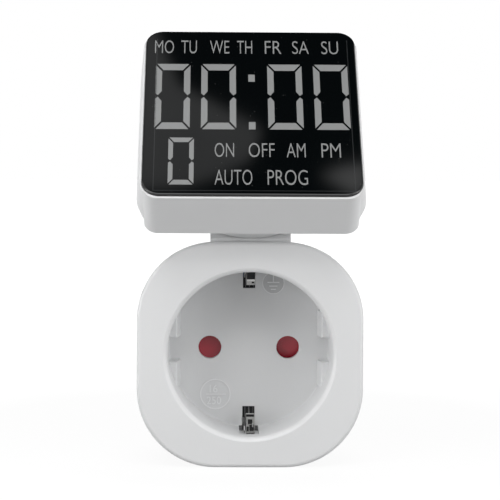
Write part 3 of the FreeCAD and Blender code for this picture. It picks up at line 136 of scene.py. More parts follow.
# ------------------------------------------------------------------ node trees
@dataclass
class Graph:
    """Adds nodes to one node tree and joins them.

    Attributes:
        tree: The shader or geometry tree.
    """

    tree: NodeTree

    def feed(self, socket: NodeSocket, value: Feed) -> None:
        """Link a socket to an input, or set the input's value.

        Args:
            socket: The input to fill.
            value: An output socket or a plain value.
        """
        if isinstance(value, NodeSocket):
            self.tree.links.new(value, socket)
        else:
            socket.default_value = value

    def add(self, kind: str, inputs: Inputs | None = None, **settings: object) -> Node:
        """Make a node.

        Args:
            kind: The node's type name.
            inputs: What goes into its inputs, by name or index.
            **settings: The node's own properties.

        Returns:
            The new node.
        """
        node = self.tree.nodes.new(kind)
        for key, value in settings.items():
            setattr(node, key, value)
        for key, value in (inputs or {}).items():
            self.feed(node.inputs[key], value)
        return node

    def math(self, operation: str, *values: Feed) -> NodeSocket:
        """Give the result of a maths node on up to three values."""
        return self.add("ShaderNodeMath", dict(enumerate(values)), operation=operation).outputs[0]

    def sway(self, value: Feed, amount: Feed, middle: Feed) -> NodeSocket:
        """Move a middle value up and down as another value goes from 0 to 1."""
        return self.math("MULTIPLY_ADD", self.math("SUBTRACT", value, 0.5), amount, middle)

    def noise(self, vector: Feed, scale: Feed, detail: float = 2.0, rough: float = 0.5) -> NodeSocket:
        """Give a noise value from 0 to 1 over a vector."""
        return self.add("ShaderNodeTexNoise", {"Vector": vector, "Scale": scale, "Detail": detail,
                                               "Roughness": rough}).outputs["Fac"]

    def ramp(self, value: Feed, low: float, high: float, start: float = 0.0, end: float = 1.0) -> NodeSocket:
        """Map a value from one range to another, held at both ends."""
        return self.add("ShaderNodeMapRange", {"Value": value, "From Min": low, "From Max": high,
                                               "To Min": start, "To Max": end}).outputs["Result"]

    def blend(self, share: Feed, first: Feed, second: Feed) -> NodeSocket:
        """Give a colour between two colours."""
        return self.add("ShaderNodeMix", {0: share, 6: first, 7: second}, data_type="RGBA").outputs[2]

    def vary(self, colour: Feed, value: Feed, spread: Feed) -> NodeSocket:
        """Make a colour lighter and darker as a value goes from 0 to 1."""
        gain = self.sway(value, self.math("MULTIPLY", spread, 2.0), 1.0)
        return self.add("ShaderNodeVectorMath", {0: colour, "Scale": gain}, operation="SCALE").outputs[0]


def emptied(owner: Union[Material, World]) -> Graph:
    """Clear the nodes of a material or world.

    Args:
        owner: The material or world.

    Returns:
        The graph to build its new nodes in.
    """
    owner.use_nodes = True
    owner.node_tree.nodes.clear()
    return Graph(owner.node_tree)


def open_sockets(tree: NodeTree, way: str, wanted: Sequence[tuple]) -> None:
    """Give a node group its inputs or outputs.

    Args:
        tree: The group.
        way: INPUT or OUTPUT.
        wanted: Name and kind of each, and its default where it has one.
    """
    for label, kind, *default in wanted:
        socket = tree.interface.new_socket(name=label, in_out=way, socket_type="NodeSocket" + kind)
        if default:
            socket.default_value = default[0]


SURFACE_INPUTS = (("Vector", "Vector"), ("Colour", "Color", (0.8, 0.8, 0.8, 1.0)),
                  ("Roughness", "Float", 0.4), ("Grain", "Float", 2500.0), ("Spread", "Float", 0.03))
SURFACE_OUTPUTS = (("Colour", "Color"), ("Roughness", "Float"), ("Height", "Float"))


class Surface(Enum):
    """The shared surface effects, each a shader group with the same inputs and outputs."""

    MOULDED = "moulded_grain"
    DRAWN = "drawn_metal"
    WOUND = "wound_wire"
    PRINTED = "printed_board"
    POLISHED = "polished_skin"

    def group(self) -> NodeTree:
        """Give the shader group, built the first time it is asked for.

        Returns:
            The group.
        """
        tree = bpy.data.node_groups.get(self.value)
        if not tree:
            tree = bpy.data.node_groups.new(self.value, "ShaderNodeTree")
            open_sockets(tree, "INPUT", SURFACE_INPUTS)
            open_sockets(tree, "OUTPUT", SURFACE_OUTPUTS)
            graph = Graph(tree)
            results = self.effect(graph, graph.add("NodeGroupInput").outputs)
            graph.add("NodeGroupOutput", dict(enumerate(results)))
        return tree

    def effect(self, graph: Graph, given: NodeOutputs) -> tuple[NodeSocket, NodeSocket, NodeSocket]:
        """Build what the group does.

        Args:
            graph: The group's graph.
            given: The group's inputs.

        Returns:
            Its colour, roughness and height.
        """
        vector, tint, dull, grain, spread = (given[label] for label, *_ in SURFACE_INPUTS)
        if self is Surface.MOULDED:
            # A spark-eroded mould's fine pits, with slow flow marks in tint and gloss.
            flow_scale, flow_gloss, pit_gloss, pit_edges = 0.02, 0.16, 0.10, (0.3, 0.7)
            pits = graph.noise(vector, grain, detail=3.0, rough=0.62)
            flow = graph.noise(vector, graph.math("MULTIPLY", grain, flow_scale))
            gloss = graph.sway(pits, pit_gloss, graph.sway(flow, flow_gloss, dull))
            return graph.vary(tint, flow, spread), gloss, graph.ramp(pits, *pit_edges)
        if self is Surface.DRAWN:
            # Fine lines along the strip, with a few handling smears.
            stretch, smear_scale, line_gloss, smear_gloss = (1.0, 0.06, 1.0), 0.08, 0.22, 0.14
            drawn = graph.add("ShaderNodeVectorMath", {0: vector, 1: stretch}, operation="MULTIPLY")
            lines = graph.noise(drawn.outputs[0], grain, detail=3.0, rough=0.6)
            smear = graph.noise(vector, graph.math("MULTIPLY", grain, smear_scale))
            gloss = graph.sway(smear, smear_gloss, graph.sway(lines, line_gloss, dull))
            return graph.vary(tint, smear, spread), gloss, lines
        if self is Surface.WOUND:
            # Turns of fine wire, one beside the next, glossier on their crests.
            crest_gloss = -0.08
            turns = graph.add("ShaderNodeTexWave", {
                "Vector": vector, "Scale": grain, "Distortion": 0.6, "Detail": 1.0, "Detail Scale": 2.0},
                bands_direction="Y").outputs["Fac"]
            gloss = graph.math("MULTIPLY_ADD", turns, crest_gloss, dull)
            return graph.vary(tint, turns, spread), gloss, turns
        if self is Surface.PRINTED:
            # Tracks under a solder mask: lighter bands between round pads, over a woven core.
            track_edge, weave_scale, weave_gloss = (0.10, 0.16), 14.0, 0.12
            cells = graph.add("ShaderNodeTexVoronoi", {"Vector": vector, "Scale": grain},
                              feature="DISTANCE_TO_EDGE", distance="MANHATTAN")
            track = graph.ramp(cells.outputs["Distance"], *track_edge, 1.0, 0.0)
            weave = graph.noise(vector, graph.math("MULTIPLY", grain, weave_scale), detail=1.0)
            lift = graph.math("ADD", graph.math("MULTIPLY", track, 0.5), graph.math("MULTIPLY", weave, 0.5))
            gloss = graph.math("MULTIPLY_ADD", weave, weave_gloss, dull)
            return graph.vary(tint, lift, spread), gloss, track
        # A polished face with faint smears and the odd speck of dust.
        smear_scale, smear_gloss, speck_edge = 0.05, 0.05, (0.04, 0.07)
        dust, dust_share = (0.35, 0.35, 0.34, 1.0), 0.08
        smear = graph.noise(vector, graph.math("MULTIPLY", grain, smear_scale), detail=4.0, rough=0.6)
        specks = graph.add("ShaderNodeTexVoronoi", {"Vector": vector, "Scale": grain}, feature="F1")
        speck = graph.ramp(specks.outputs["Distance"], *speck_edge, dust_share, 0.0)
        dusty = graph.blend(speck, graph.vary(tint, smear, spread), dust)
        return dusty, graph.math("MULTIPLY_ADD", smear, smear_gloss, dull), smear


# ------------------------------------------------------------------ finishes
@dataclass(frozen=True)
class Finish:
    """How one material looks: a surface effect with its values, under one shader.

    Attributes:
        slot: The record's material slot.
        surface: The shared surface effect.
        colour: Middle colour, linear.
        roughness: Middle roughness.
        grain: Size of the effect, in repeats per metre.
        spread: How far the brightness varies each way.
        depth: Height of the relief, in metres.
        metallic: 1 for bare metal.
        coat: Strength of a clear gloss over it.
        gloss: Index of refraction of the surface.
        coat_roughness: Roughness of the clear gloss.
    """

    slot: str
    surface: Surface
    colour: Triple
    roughness: float
    grain: float
    spread: float = 0.03
    depth: float = 0.00001
    metallic: float = 0.0
    coat: float = 0.0
    gloss: float = 1.5
    coat_roughness: float = 0.08

    def material(self) -> Material:
        """Give the material, built the first time it is asked for.

        Returns:
            The material.
        """
        name = "finish_" + self.slot
        found = bpy.data.materials.get(name)
        if found:
            return found
        made = bpy.data.materials.new(name)
        graph = emptied(made)
        effect = graph.add("ShaderNodeGroup", {}, node_tree=self.surface.group())
        place = graph.add("ShaderNodeTexCoord").outputs["Object"]
        given = (place, (*self.colour, 1.0), self.roughness, self.grain, self.spread)
        for (label, *_), value in zip(SURFACE_INPUTS, given):
            graph.feed(effect.inputs[label], value)
        relief = graph.add("ShaderNodeBump", {"Height": effect.outputs["Height"], "Strength": 1.0,
                                              "Distance": self.depth})
        shader = graph.add("ShaderNodeBsdfPrincipled", {
            "Base Color": effect.outputs["Colour"], "Roughness": effect.outputs["Roughness"],
            "Normal": relief.outputs["Normal"], "Metallic": self.metallic, "Coat Weight": self.coat,
            "Coat Roughness": self.coat_roughness, "IOR": self.gloss})
        graph.add("ShaderNodeOutputMaterial", {"Surface": shader.outputs["BSDF"]})
        return made


FINISHES: dict[str, Finish] = {finish.slot: finish for finish in (
    Finish("white_plastic", Surface.MOULDED, (0.735, 0.74, 0.745), 0.42, 3200.0, 0.012, 0.000006),
    Finish("pale_plastic", Surface.MOULDED, (0.70, 0.69, 0.65), 0.48, 2600.0, 0.03),
    Finish("key_plastic", Surface.MOULDED, (0.74, 0.745, 0.75), 0.34, 3600.0, 0.015, 0.000004),
    Finish("red_plastic", Surface.MOULDED, (0.44, 0.020, 0.040), 0.26, 2200.0, 0.05, 0.000006),
    Finish("screw_steel", Surface.DRAWN, (0.60, 0.60, 0.62), 0.34, 3000.0, 0.10, 0.000004, metallic=1.0),
    Finish("spring_steel", Surface.DRAWN, (0.66, 0.65, 0.63), 0.24, 2600.0, 0.10, 0.000004, metallic=1.0),
    Finish("pin_metal", Surface.DRAWN, (0.74, 0.73, 0.71), 0.20, 3400.0, 0.06, 0.000003, metallic=1.0),
    Finish("contact_brass", Surface.DRAWN, (0.78, 0.57, 0.25), 0.30, 2600.0, 0.10, 0.000004, metallic=1.0),
    Finish("coil_copper", Surface.WOUND, (0.62, 0.28, 0.13), 0.34, 700.0, 0.35, 0.00006, metallic=0.6),
    Finish("board_green", Surface.PRINTED, (0.02, 0.14, 0.06), 0.36, 260.0, 0.45, 0.00002, coat=0.3),
    Finish("relay_blue", Surface.MOULDED, (0.03, 0.09, 0.28), 0.36, 2600.0, 0.05),
    Finish("film_yellow", Surface.MOULDED, (0.62, 0.42, 0.05), 0.38, 1400.0, 0.06, 0.00002, coat=0.2),
    Finish("can_black", Surface.MOULDED, (0.018, 0.018, 0.020), 0.42, 1800.0, 0.15),
    Finish("loom_grey", Surface.WOUND, (0.34, 0.35, 0.36), 0.55, 420.0, 0.15, 0.00006),
    Finish("window_black", Surface.POLISHED, (0.0016, 0.0024, 0.0028), 0.03, 420.0, 0.20, 0.0, gloss=1.5),
    Finish("lcd_glass", Surface.POLISHED, (0.05, 0.055, 0.055), 0.08, 500.0, 0.15, 0.0),
    Finish("zebra_rubber", Surface.WOUND, (0.09, 0.09, 0.10), 0.60, 900.0, 0.60, 0.00003),
    Finish("segment_grey", Surface.POLISHED, (0.275, 0.28, 0.28), 0.06, 900.0, 0.03, 0.0),
    Finish("window_edge", Surface.POLISHED, (0.022, 0.024, 0.025), 0.05, 700.0, 0.05, 0.0),
    # Painted light on the earth springs: the first of these three steels is painted shade, the second a paler
    # painted shade, the third a painted highlight.
    Finish("shaded_steel", Surface.DRAWN, (0.024, 0.024, 0.025), 0.55, 2600.0, 0.10, 0.000004, gloss=1.12),
    Finish("dull_steel", Surface.DRAWN, (0.17, 0.17, 0.172), 0.50, 2600.0, 0.10, 0.000004, gloss=1.3),
    Finish("bright_steel", Surface.DRAWN, (0.90, 0.90, 0.90), 0.16, 2600.0, 0.04, 0.000002, metallic=1.0),
    # Painted light on the recess marks: a darker colour as painted shade for the earth disc, a paler one as a
    # painted highlight for the raised marks.
    Finish("mark_shade", Surface.MOULDED, (0.60, 0.605, 0.61), 0.46, 3200.0, 0.012, 0.000006),
    Finish("mark_pale", Surface.MOULDED, (0.90, 0.905, 0.91), 0.30, 3200.0, 0.012, 0.000004),
)}


# ------------------------------------------------------------------ meshes
def mesh_of(name: str, points: Sequence[Sequence[float]], faces: Sequence[Sequence[int]]) -> Mesh:
    """Make a mesh from points and faces.

    Args:
        name: The mesh's name.
        points: Corners, in metres.
        faces: Corner numbers of each face.

    Returns:
        The mesh.
    """
    mesh = bpy.data.meshes.new(name)
    mesh.from_pydata([tuple(point) for point in points], [], [tuple(face) for face in faces])
    mesh.update()
    return mesh


def blocks(name: str, outlines: Sequence[Outline], low: float, high: float) -> Mesh:
    """Raise several outlines into one mesh of closed blocks.

    Args:
        name: The mesh's name.
        outlines: Corners of each block, anticlockwise seen from above.
        low: Height of the lower faces.
        high: Height of the upper faces.

    Returns:
        The mesh.
    """
    points: list[Triple] = []
    faces: list[tuple[int, ...]] = []
    for outline in outlines:
        start, count = len(points), len(outline)
        points += [(x, y, height) for height in (low, high) for x, y in outline]
        faces += [tuple(start + index for index in reversed(range(count))),
                  tuple(start + count + index for index in range(count))]
        for index in range(count):
            foot, after = start + index, start + (index + 1) % count
            faces.append((foot, after, after + count, foot + count))
    return mesh_of(name, points, faces)


def circle(radius: float, middle: Point, sides: int) -> list[Point]:
    """Give evenly spaced points round a circle, anticlockwise."""
    turns = [step * math.tau / sides for step in range(sides)]
    return [(middle[0] + radius * math.cos(turn), middle[1] + radius * math.sin(turn)) for turn in turns]


def ring(radius: float, width: float, middle: Point, sides: int = 64) -> list[Outline]:
    """Give the quadrilaterals of a flat ring, as outlines to raise.

    Args:
        radius: Middle radius of the ring.
        width: Width of its line.
        middle: The ring's centre.
        sides: Number of straight pieces.

    Returns:
        One outline for each piece.
    """
    inner, outer = (circle(radius + half, middle, sides) for half in (-width / 2, width / 2))
    return [(outer[step - 1], outer[step], inner[step], inner[step - 1]) for step in range(sides)]


def rectangle(x0: float, x1: float, y0: float, y1: float) -> list[Point]:
    """Give a rectangle's corners, anticlockwise."""
    return [(x0, y0), (x1, y0), (x1, y1), (x0, y1)]


def lettering(text: str, box: Box, depth: float, thin: float = 0.0) -> Mesh:
    """Make a word that fills a box.

    Args:
        text: The word.
        box: Left and right side of the box, and foot and head of the letters.
        depth: How far the letters rise from zero.
        thin: How much of each stroke is shaved off its sides, as a share of the type size.

    Returns:
        The word's mesh, lying in XY.
    """
    curve = bpy.data.curves.new("lettering", "FONT")
    curve.body = text
    curve.extrude = 0.05  # any depth will do, because the word is scaled to its box
    curve.offset = -thin
    curve.resolution_u = 6
    holder = linked("lettering", curve)
    mesh = bpy.data.meshes.new_from_object(holder.evaluated_get(bpy.context.evaluated_depsgraph_get()))
    bpy.data.objects.remove(holder)
    corners = [vertex.co for vertex in mesh.vertices]
    least, most = (Vector(end(corner[axis] for corner in corners) for axis in range(3)) for end in (min, max))
    size, (x0, x1, low, high) = most - least, box
    scale = Matrix.Diagonal(((x1 - x0) / size.x, (high - low) / size.y, depth / size.z, 1.0))
    mesh.transform(Matrix.Translation((x0, low, 0.0)) @ scale @ Matrix.Translation(-least))
    return mesh


def joined(name: str, meshes: Sequence[Mesh]) -> Mesh:
    """Put several meshes into one.

    Args:
        name: The new mesh's name.
        meshes: What goes into it.

    Returns:
        The mesh.
    """
    points: list[Vector] = []
    faces: list[tuple[int, ...]] = []
    for mesh in meshes:
        start = len(points)
        points += [vertex.co for vertex in mesh.vertices]
        faces += [tuple(start + index for index in polygon.vertices) for polygon in mesh.polygons]
    return mesh_of(name, points, faces)


def settle(name: str, mesh: Mesh, body: Body, finish: Finish, smooth: float = 30.0,
           replaces: Sequence[str] = ()) -> None:
    """Make a finished piece from a mesh that is already in place.

    Args:
        name: The piece's name.
        mesh: Its mesh, in the row frame.
        body: The body it rides on.
        finish: Its finish.
        smooth: Edges sharper than this, in degrees, stay sharp.
        replaces: Solids that it stands for.
    """
    mesh.materials.clear()
    mesh.materials.append(finish.material())
    mesh.polygons.foreach_set("use_smooth", [True] * len(mesh.polygons))
    mesh.set_sharp_from_angle(angle=math.radians(smooth))
    piece = linked(name, mesh)
    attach(piece, body.value)
    if replaces:
        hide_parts(*replaces)
    log.info("%s: %d faces on %s", name, len(mesh.polygons), body.value)


def dress(nodes: Sequence[str]) -> None:
    """Give each solid the finish that its record slot names.

    Args:
        nodes: The solids' names.
    """
    for name in nodes:
        solid = frame["nodes"][name]
        finish = FINISHES[solid.data.materials[0].name]
        for place in solid.material_slots:
            place.material = finish.material()
        log.info("%s: solid dressed in %s", name, finish.slot)


# ------------------------------------------------------------------ geometry nodes
SEAT_MARKS = ("size", "along", "around")


def instancing_tree(name: str) -> NodeTree:
    """Build the tree that sets one shape on every point of a mesh.

    Each point's own "size", "along" and "around" attributes scale and turn its copy.

    Args:
        name: The tree's name.

    Returns:
        The tree, whose inputs are the points, the shape, its scale and its material.
    """
    tree = bpy.data.node_groups.new(name, "GeometryNodeTree")
    open_sockets(tree, "INPUT", (("Points", "Geometry"), ("Shape", "Object"), ("Scale", "Float", 1.0),
                                 ("Finish", "Material")))
    open_sockets(tree, "OUTPUT", (("Geometry", "Geometry"),))
    graph = Graph(tree)
    given = graph.add("NodeGroupInput").outputs
    size, along, around = (
        graph.add("GeometryNodeInputNamedAttribute", {"Name": mark}, data_type="FLOAT_VECTOR").outputs[0]
        for mark in SEAT_MARKS)
    facing = graph.add("FunctionNodeAlignRotationToVector", {"Vector": along}, axis="Z").outputs[0]
    turned = graph.add("FunctionNodeAlignRotationToVector", {"Rotation": facing, "Vector": around}, axis="X",
                       pivot_axis="Z").outputs[0]
    scale = graph.add("ShaderNodeVectorMath", {0: size, "Scale": given["Scale"]}, operation="SCALE")
    shape = graph.add("GeometryNodeObjectInfo", {"Object": given["Shape"]}).outputs["Geometry"]
    copies = graph.add("GeometryNodeInstanceOnPoints", {"Points": given["Points"], "Instance": shape,
                                                        "Rotation": turned, "Scale": scale.outputs[0]})
    real = graph.add("GeometryNodeRealizeInstances", {"Geometry": copies.outputs[0]})
    done = graph.add("GeometryNodeSetMaterial", {"Geometry": real.outputs[0], "Material": given["Finish"]})
    graph.add("NodeGroupOutput", {"Geometry": done.outputs[0]})
    return tree


def grown(host: Mesh, tree: NodeTree, inputs: Mapping[str, Feed]) -> Mesh:
    """Run a geometry tree on a mesh and keep the result as a plain mesh.

    Args:
        host: The mesh that the tree starts from.
        tree: The tree.
        inputs: Values for the tree's named inputs.

    Returns:
        The result.
    """
    holder = linked("grown", host)
    modifier = holder.modifiers.new("grow", "NODES")
    modifier.node_group = tree
    sockets = {item.name: item.identifier for item in tree.interface.items_tree if item.in_out == "INPUT"}
    for label, value in inputs.items():
        modifier[sockets[label]] = value
    holder.update_tag()
    bpy.context.view_layer.update()
    result = bpy.data.meshes.new_from_object(holder.evaluated_get(bpy.context.evaluated_depsgraph_get()))
    holder.modifiers.remove(modifier)
    bpy.data.objects.remove(holder)
    return result


@dataclass(frozen=True)
class Seat:
    """Where one copy of a repeated shape goes.

    Attributes:
        place: Its origin.
        along: Where its own Z points.
        around: Where its own X points.
        size: Its scale on each of its own axes.
    """

    place: Vector
    along: Vector = UP
    around: Vector = RIGHT
    size: Vector = Vector((1.0, 1.0, 1.0))


def repeated(shape: Mesh, seats: Sequence[Seat], finish: Finish) -> Mesh:
    """Set a shape on every seat, through geometry nodes.

    Args:
        shape: The shape to repeat.
        seats: Where the copies go.
        finish: The finish of all copies.

    Returns:
        One mesh with all the copies.
    """
    points = mesh_of("seats", [seat.place for seat in seats], [])
    for label in SEAT_MARKS:
        layer = points.attributes.new(label, "FLOAT_VECTOR", "POINT")
        for index, seat in enumerate(seats):
            layer.data[index].vector = getattr(seat, label)
    source = linked("shape", shape)
    tree = bpy.data.node_groups.get("set_on_points") or instancing_tree("set_on_points")
    result = grown(points, tree, {"Shape": source, "Scale": 1.0, "Finish": finish.material()})
    bpy.data.objects.remove(source)
    return result


# ------------------------------------------------------------------ the display
@dataclass
class WindowPlane:
    """The slanted plane of the window, with its own right, up and back directions.

    Attributes:
        back: Into the head, along the axis that the head turns about.
        up: Up the slope of the window.
        sill: Middle of the window's bottom edge, on its outer face.
    """

    back: Vector = field(init=False)
    up: Vector = field(init=False)
    sill: Vector = field(init=False)

    def __post_init__(self) -> None:
        """Find the plane from the joint's axis and the window's solid."""
        joint = next(joint for joint in frame["joints"] if joint["name"] == "head_turn")
        axis = Vector(joint["axis"]).normalized()
        self.back = axis if axis.y > 0 else -axis
        self.up = Vector((0.0, -self.back.z, self.back.y))
        corners = [vertex.co for vertex in frame["nodes"]["display_window"].data.vertices]
        self.sill = self.back * min(corner.dot(self.back) for corner in corners)
        self.sill += self.up * min(corner.dot(self.up) for corner in corners)

    def matrix(self) -> Matrix:
        """Give the transform that takes flat artwork to the window's face, its Z towards the user."""
        return turned_to(RIGHT, self.up, -self.back, self.sill)


@dataclass(frozen=True)
class WordRow:
    """One row of words printed behind the window, in millimetres.

    Attributes:
        low: Foot of its letters, from the window's bottom edge.
        high: Head of its letters.
        words: Each word with its left and right side, from the window's middle.
    """

    low: float
    high: float
    words: tuple[tuple[str, float, float], ...]


@dataclass
class Display:
    """The window and what it shows: a clock, a small counter and three rows of words.

    Attributes:
        plane: The window's plane.
        digit_size: Width and height of a clock digit.
        bar: Thickness of a level segment.
        post: Thickness of an upright segment.
        gap: Space between two segments.
        notch: Where an upright's tip leaves its inner side, is sharpest, and leaves its outer side, in posts.
        ink: Thickness of the shown shapes.
        clock_foot: Foot of the clock digits.
        clock_lefts: Left sides of the clock digits.
        counter: Left side and foot of the small digit.
        counter_size: Width and height of the small digit.
        dot: Width and height of a colon dot.
        dot_left: Left side of the colon.
        dot_feet: Feet of the two dots.
        border_box: Left, right, foot and head of the lines at the display's edge.
        border_line: Width of those lines.
        inset: How far the words stop short of their boxes, in millimetres.
        thin: How much is shaved off their strokes.
        smooth: Edges sharper than this, in degrees, stay sharp.
        rows: The printed words.
    """

    plane: WindowPlane
    digit_size: Point = mm(8.21, 21.35)
    bar: float = 2.1 * MM
    post: float = 1.5 * MM
    gap: float = 0.5 * MM
    notch: Triple = (0.9, 0.42, 0.45)
    ink: float = 0.02 * MM
    clock_foot: float = 20.2 * MM
    clock_lefts: tuple[float, ...] = mm(-22.59, -11.79, 3.86, 14.79)
    counter: Point = mm(-19.2, 3.0)
    counter_size: Point = mm(5.85, 14.5)
    dot: Point = mm(1.55, 2.35)
    dot_left: float = -0.66 * MM
    dot_feet: Point = mm(20.2, 35.75)
    border_box: Box = mm(-22.55, 23.35, 1.1, 50.0)
    border_line: float = 0.22 * MM
    inset: float = 0.12
    thin: float = 0.008
    smooth: float = 10.0
    rows: tuple[WordRow, ...] = (
        WordRow(45.2, 49.6, (("MO", -23.1, -18.3), ("TU", -16.8, -12.8), ("WE", -9.9, -5.0),
                             ("TH", -3.4, 0.5), ("FR", 3.3, 7.5), ("SA", 9.9, 14.1), ("SU", 16.9, 21.2))),
        WordRow(11.5, 15.9, (("ON", -8.7, -4.0), ("OFF", -0.9, 5.3), ("AM", 7.8, 12.4), ("PM", 15.8, 20.5))),
        WordRow(3.0, 7.6, (("AUTO", -8.7, 0.1), ("PROG", 3.3, 12.7))))

    def digit(self) -> Mesh:
        """Make a nought of six segments, with its lower left corner at the origin.

        Returns:
            The digit, one clock digit in size.
        """
        (width, height), bar, post = self.digit_size, self.bar, self.post
        mitre = math.hypot(bar, post)
        lead, drop = self.gap / 2 * mitre / bar, self.gap / 2 * mitre / post
        tip, (inner, point, outer) = (height - self.gap) / 2, self.notch
        level = [(lead, 0.0), (width - lead, 0.0), (width - lead - post, bar), (lead + post, bar)]
        upright = [(0.0, drop), (post, bar + drop), (post, tip - inner * post), (point * post, tip),
                   (0.0, tip - outer * post)]

        def mirrored(outline: Outline, across: bool, over: bool) -> Outline:
            """Turn an outline over, keeping it anticlockwise."""
            placed = [(width - x if across else x, height - y if over else y) for x, y in outline]
            return placed if across == over else placed[::-1]

        outlines = [level, mirrored(level, False, True)]
        outlines += [mirrored(upright, across, over) for across in (False, True) for over in (False, True)]
        return blocks("digit", outlines, 0.0, self.ink)

    def border(self) -> Mesh:
        """Make the fine lines where the display's own edge shows through the window.

        Returns:
            The lines.
        """
        left, right, low, high = self.border_box
        line = self.border_line
        return blocks("border", [rectangle(left, left + line, low + line, high),
                                 rectangle(right - line, right, low + line, high),
                                 rectangle(left, right, low, low + line)], 0.0, self.ink)

    def build(self) -> None:
        """Make the digits, the colon, the words and the display's edge."""
        shown, inset, ink = FINISHES["segment_grey"], self.inset, self.ink
        seats = [Seat(Vector((left, self.clock_foot, 0.0))) for left in self.clock_lefts]
        small = [part / whole for part, whole in zip(self.counter_size, self.digit_size)]
        seats.append(Seat(Vector((*self.counter, 0.0)), size=Vector((*small, 1.0))))
        digits = repeated(self.digit(), seats, shown)
        dots = blocks("dots", [rectangle(self.dot_left, self.dot_left + self.dot[0], foot, foot + self.dot[1])
                               for foot in self.dot_feet], 0.0, ink)
        words = [lettering(text, mm(left + inset, right - inset, row.low, row.high), ink, self.thin)
                 for row in self.rows for text, left, right in row.words]
        for name, mesh, finish in (("clock_digits", joined("digits", [digits, dots]), shown),
                                   ("display_words", joined("words", words), shown),
                                   ("display_edge", self.border(), FINISHES["window_edge"])):
            mesh.transform(self.plane.matrix())
            settle(name, mesh, Body.HEAD, finish, self.smooth)


# ------------------------------------------------------------------ the socket
@dataclass
class SocketMarks:
    """The raised marks moulded on the recess floor.

    Attributes:
        proud: How far the lines stand off the floor.
        plate: Thickness of the disc under the earth mark, coloured darker as painted shade.
        line: Width of the lines.
        rating: Middle of the rating mark, across and up.
        rating_radius: Radius of its ring.
        rating_bar: Left, right, foot and head of its bar, from its middle.
        figures: Each number with its left, right, foot and head, from the same middle.
        earth: Middle of the earth mark.
        earth_radius: Radius of its disc.
        earth_sides: Corners of the disc.
        earth_line: Width of its ring, as a share of the other lines.
        rungs: Half width and height of the three bars of the earth symbol.
        stem: Height of the top of its upright.
        floor: Depth of the recess floor.
    """

    proud: float = 0.26 * MM
    plate: float = 0.06 * MM
    line: float = 0.26 * MM
    rating: Point = mm(-8.1, -11.5)
    rating_radius: float = 3.6 * MM
    rating_bar: Box = mm(-2.2, 2.6, -0.1, 0.1)
    figures: tuple[tuple[str, Box], ...] = (
        ("16", mm(-1.4, 0.5, 0.4, 2.3)), ("250", mm(-2.1, 1.4, -2.5, -0.6)))
    earth: Point = mm(5.9, 15.75)
    earth_radius: float = 2.6 * MM
    earth_sides: int = 48
    earth_line: float = 0.6
    rungs: tuple[Point, ...] = (mm(1.45, 0.15), mm(1.0, -0.75), mm(0.6, -1.55))
    stem: float = 1.8 * MM
    floor: float = -42.047 * MM

    def rating_mark(self) -> Mesh:
        """Make the ring with the current above the voltage.

        Returns:
            The mark.
        """
        def placed(box: Box) -> Box:
            """Move a box to the mark's middle."""
            return tuple(side + self.rating[index // 2] for index, side in enumerate(box))

        outlines = [*ring(self.rating_radius, self.line, self.rating), rectangle(*placed(self.rating_bar))]
        return joined("rating", [blocks("ring", outlines, 0.0, self.proud),
                                 *(lettering(text, placed(box), self.proud) for text, box in self.figures)])

    def earth_mark(self) -> Mesh:
        """Make the ring, the upright and the three shortening bars.

        Returns:
            The mark.
        """
        (x, z), half_line = self.earth, self.line / 2
        bars = [rectangle(x - half, x + half, z + rise - half_line, z + rise + half_line)
                for half, rise in self.rungs]
        bars.append(rectangle(x - half_line, x + half_line, z + self.rungs[0][1], z + self.stem))
        outlines = ring(self.earth_radius, self.line * self.earth_line, self.earth) + bars
        return blocks("earth", outlines, 0.0, self.proud)

    def build(self) -> None:
        """Make both marks and the disc."""
        disc = blocks("disc", [circle(self.earth_radius, self.earth, self.earth_sides)], 0.0, self.plate)
        # The marks are coloured paler as a painted highlight, and the disc darker as painted shade.
        for name, mesh, finish in (("rating_mark", self.rating_mark(), "mark_pale"),
                                   ("earth_mark", self.earth_mark(), "mark_pale"),
                                   ("earth_disc", disc, "mark_shade")):
            mesh.transform(turned_to(RIGHT, UP, AHEAD, BEHIND * self.floor))
            settle(name, mesh, Body.HOUSING, FINISHES[finish])


def rounded(corners: Sequence[Vector], share: float = 0.12, steps: int = 6) -> list[Vector]:
    """Round the inner corners of a line.

    Args:
        corners: Points of the line.
        share: Share of each run that its rounding takes.
        steps: Points round each corner.

    Returns:
        The smoother line.
    """
    line = [corners[0]]
    for before, corner, after in zip(corners[:-2], corners[1:-1], corners[2:]):
        enter, leave = corner.lerp(before, share), corner.lerp(after, share)
        for step in range(steps + 1):
            part = step / steps
            line.append(enter.lerp(corner, part).lerp(corner.lerp(leave, part), part))
    line.append(corners[-1])
    return line


def outward(mesh: Mesh) -> Mesh:
    """Turn every face of closed shapes to point outwards.

    Args:
        mesh: The mesh, which is changed.

    Returns:
        The same mesh.
    """
    work = bmesh.new()
    work.from_mesh(mesh)
    bmesh.ops.recalc_face_normals(work, faces=work.faces)
    work.to_mesh(mesh)
    work.free()
    return mesh


def ribbon(line: Sequence[Vector], edges: Point, thickness: float) -> Mesh:
    """Make a bent strip along a line in the YZ plane.

    Args:
        line: Middle of the strip.
        edges: Its left and right edge in X.
        thickness: Its thickness.

    Returns:
        A closed strip.
    """
    points: list[Triple] = []
    for index, point in enumerate(line):
        run = (line[min(index + 1, len(line) - 1)] - line[max(index - 1, 0)]).normalized()
        side = Vector((0.0, -run.z, run.y)) * thickness / 2
        for across, off in zip((*edges, *reversed(edges)), (side, side, -side, -side)):
            points.append((across, *(point + off).yz))
    faces = [(3, 2, 1, 0), tuple(len(points) - 4 + corner for corner in range(4))]
    for index in range(len(line) - 1):
        for corner in range(4):
            low, following = index * 4 + corner, index * 4 + (corner + 1) % 4
            faces.append((low, following, following + 4, low + 4))
    return outward(mesh_of("ribbon", points, faces))


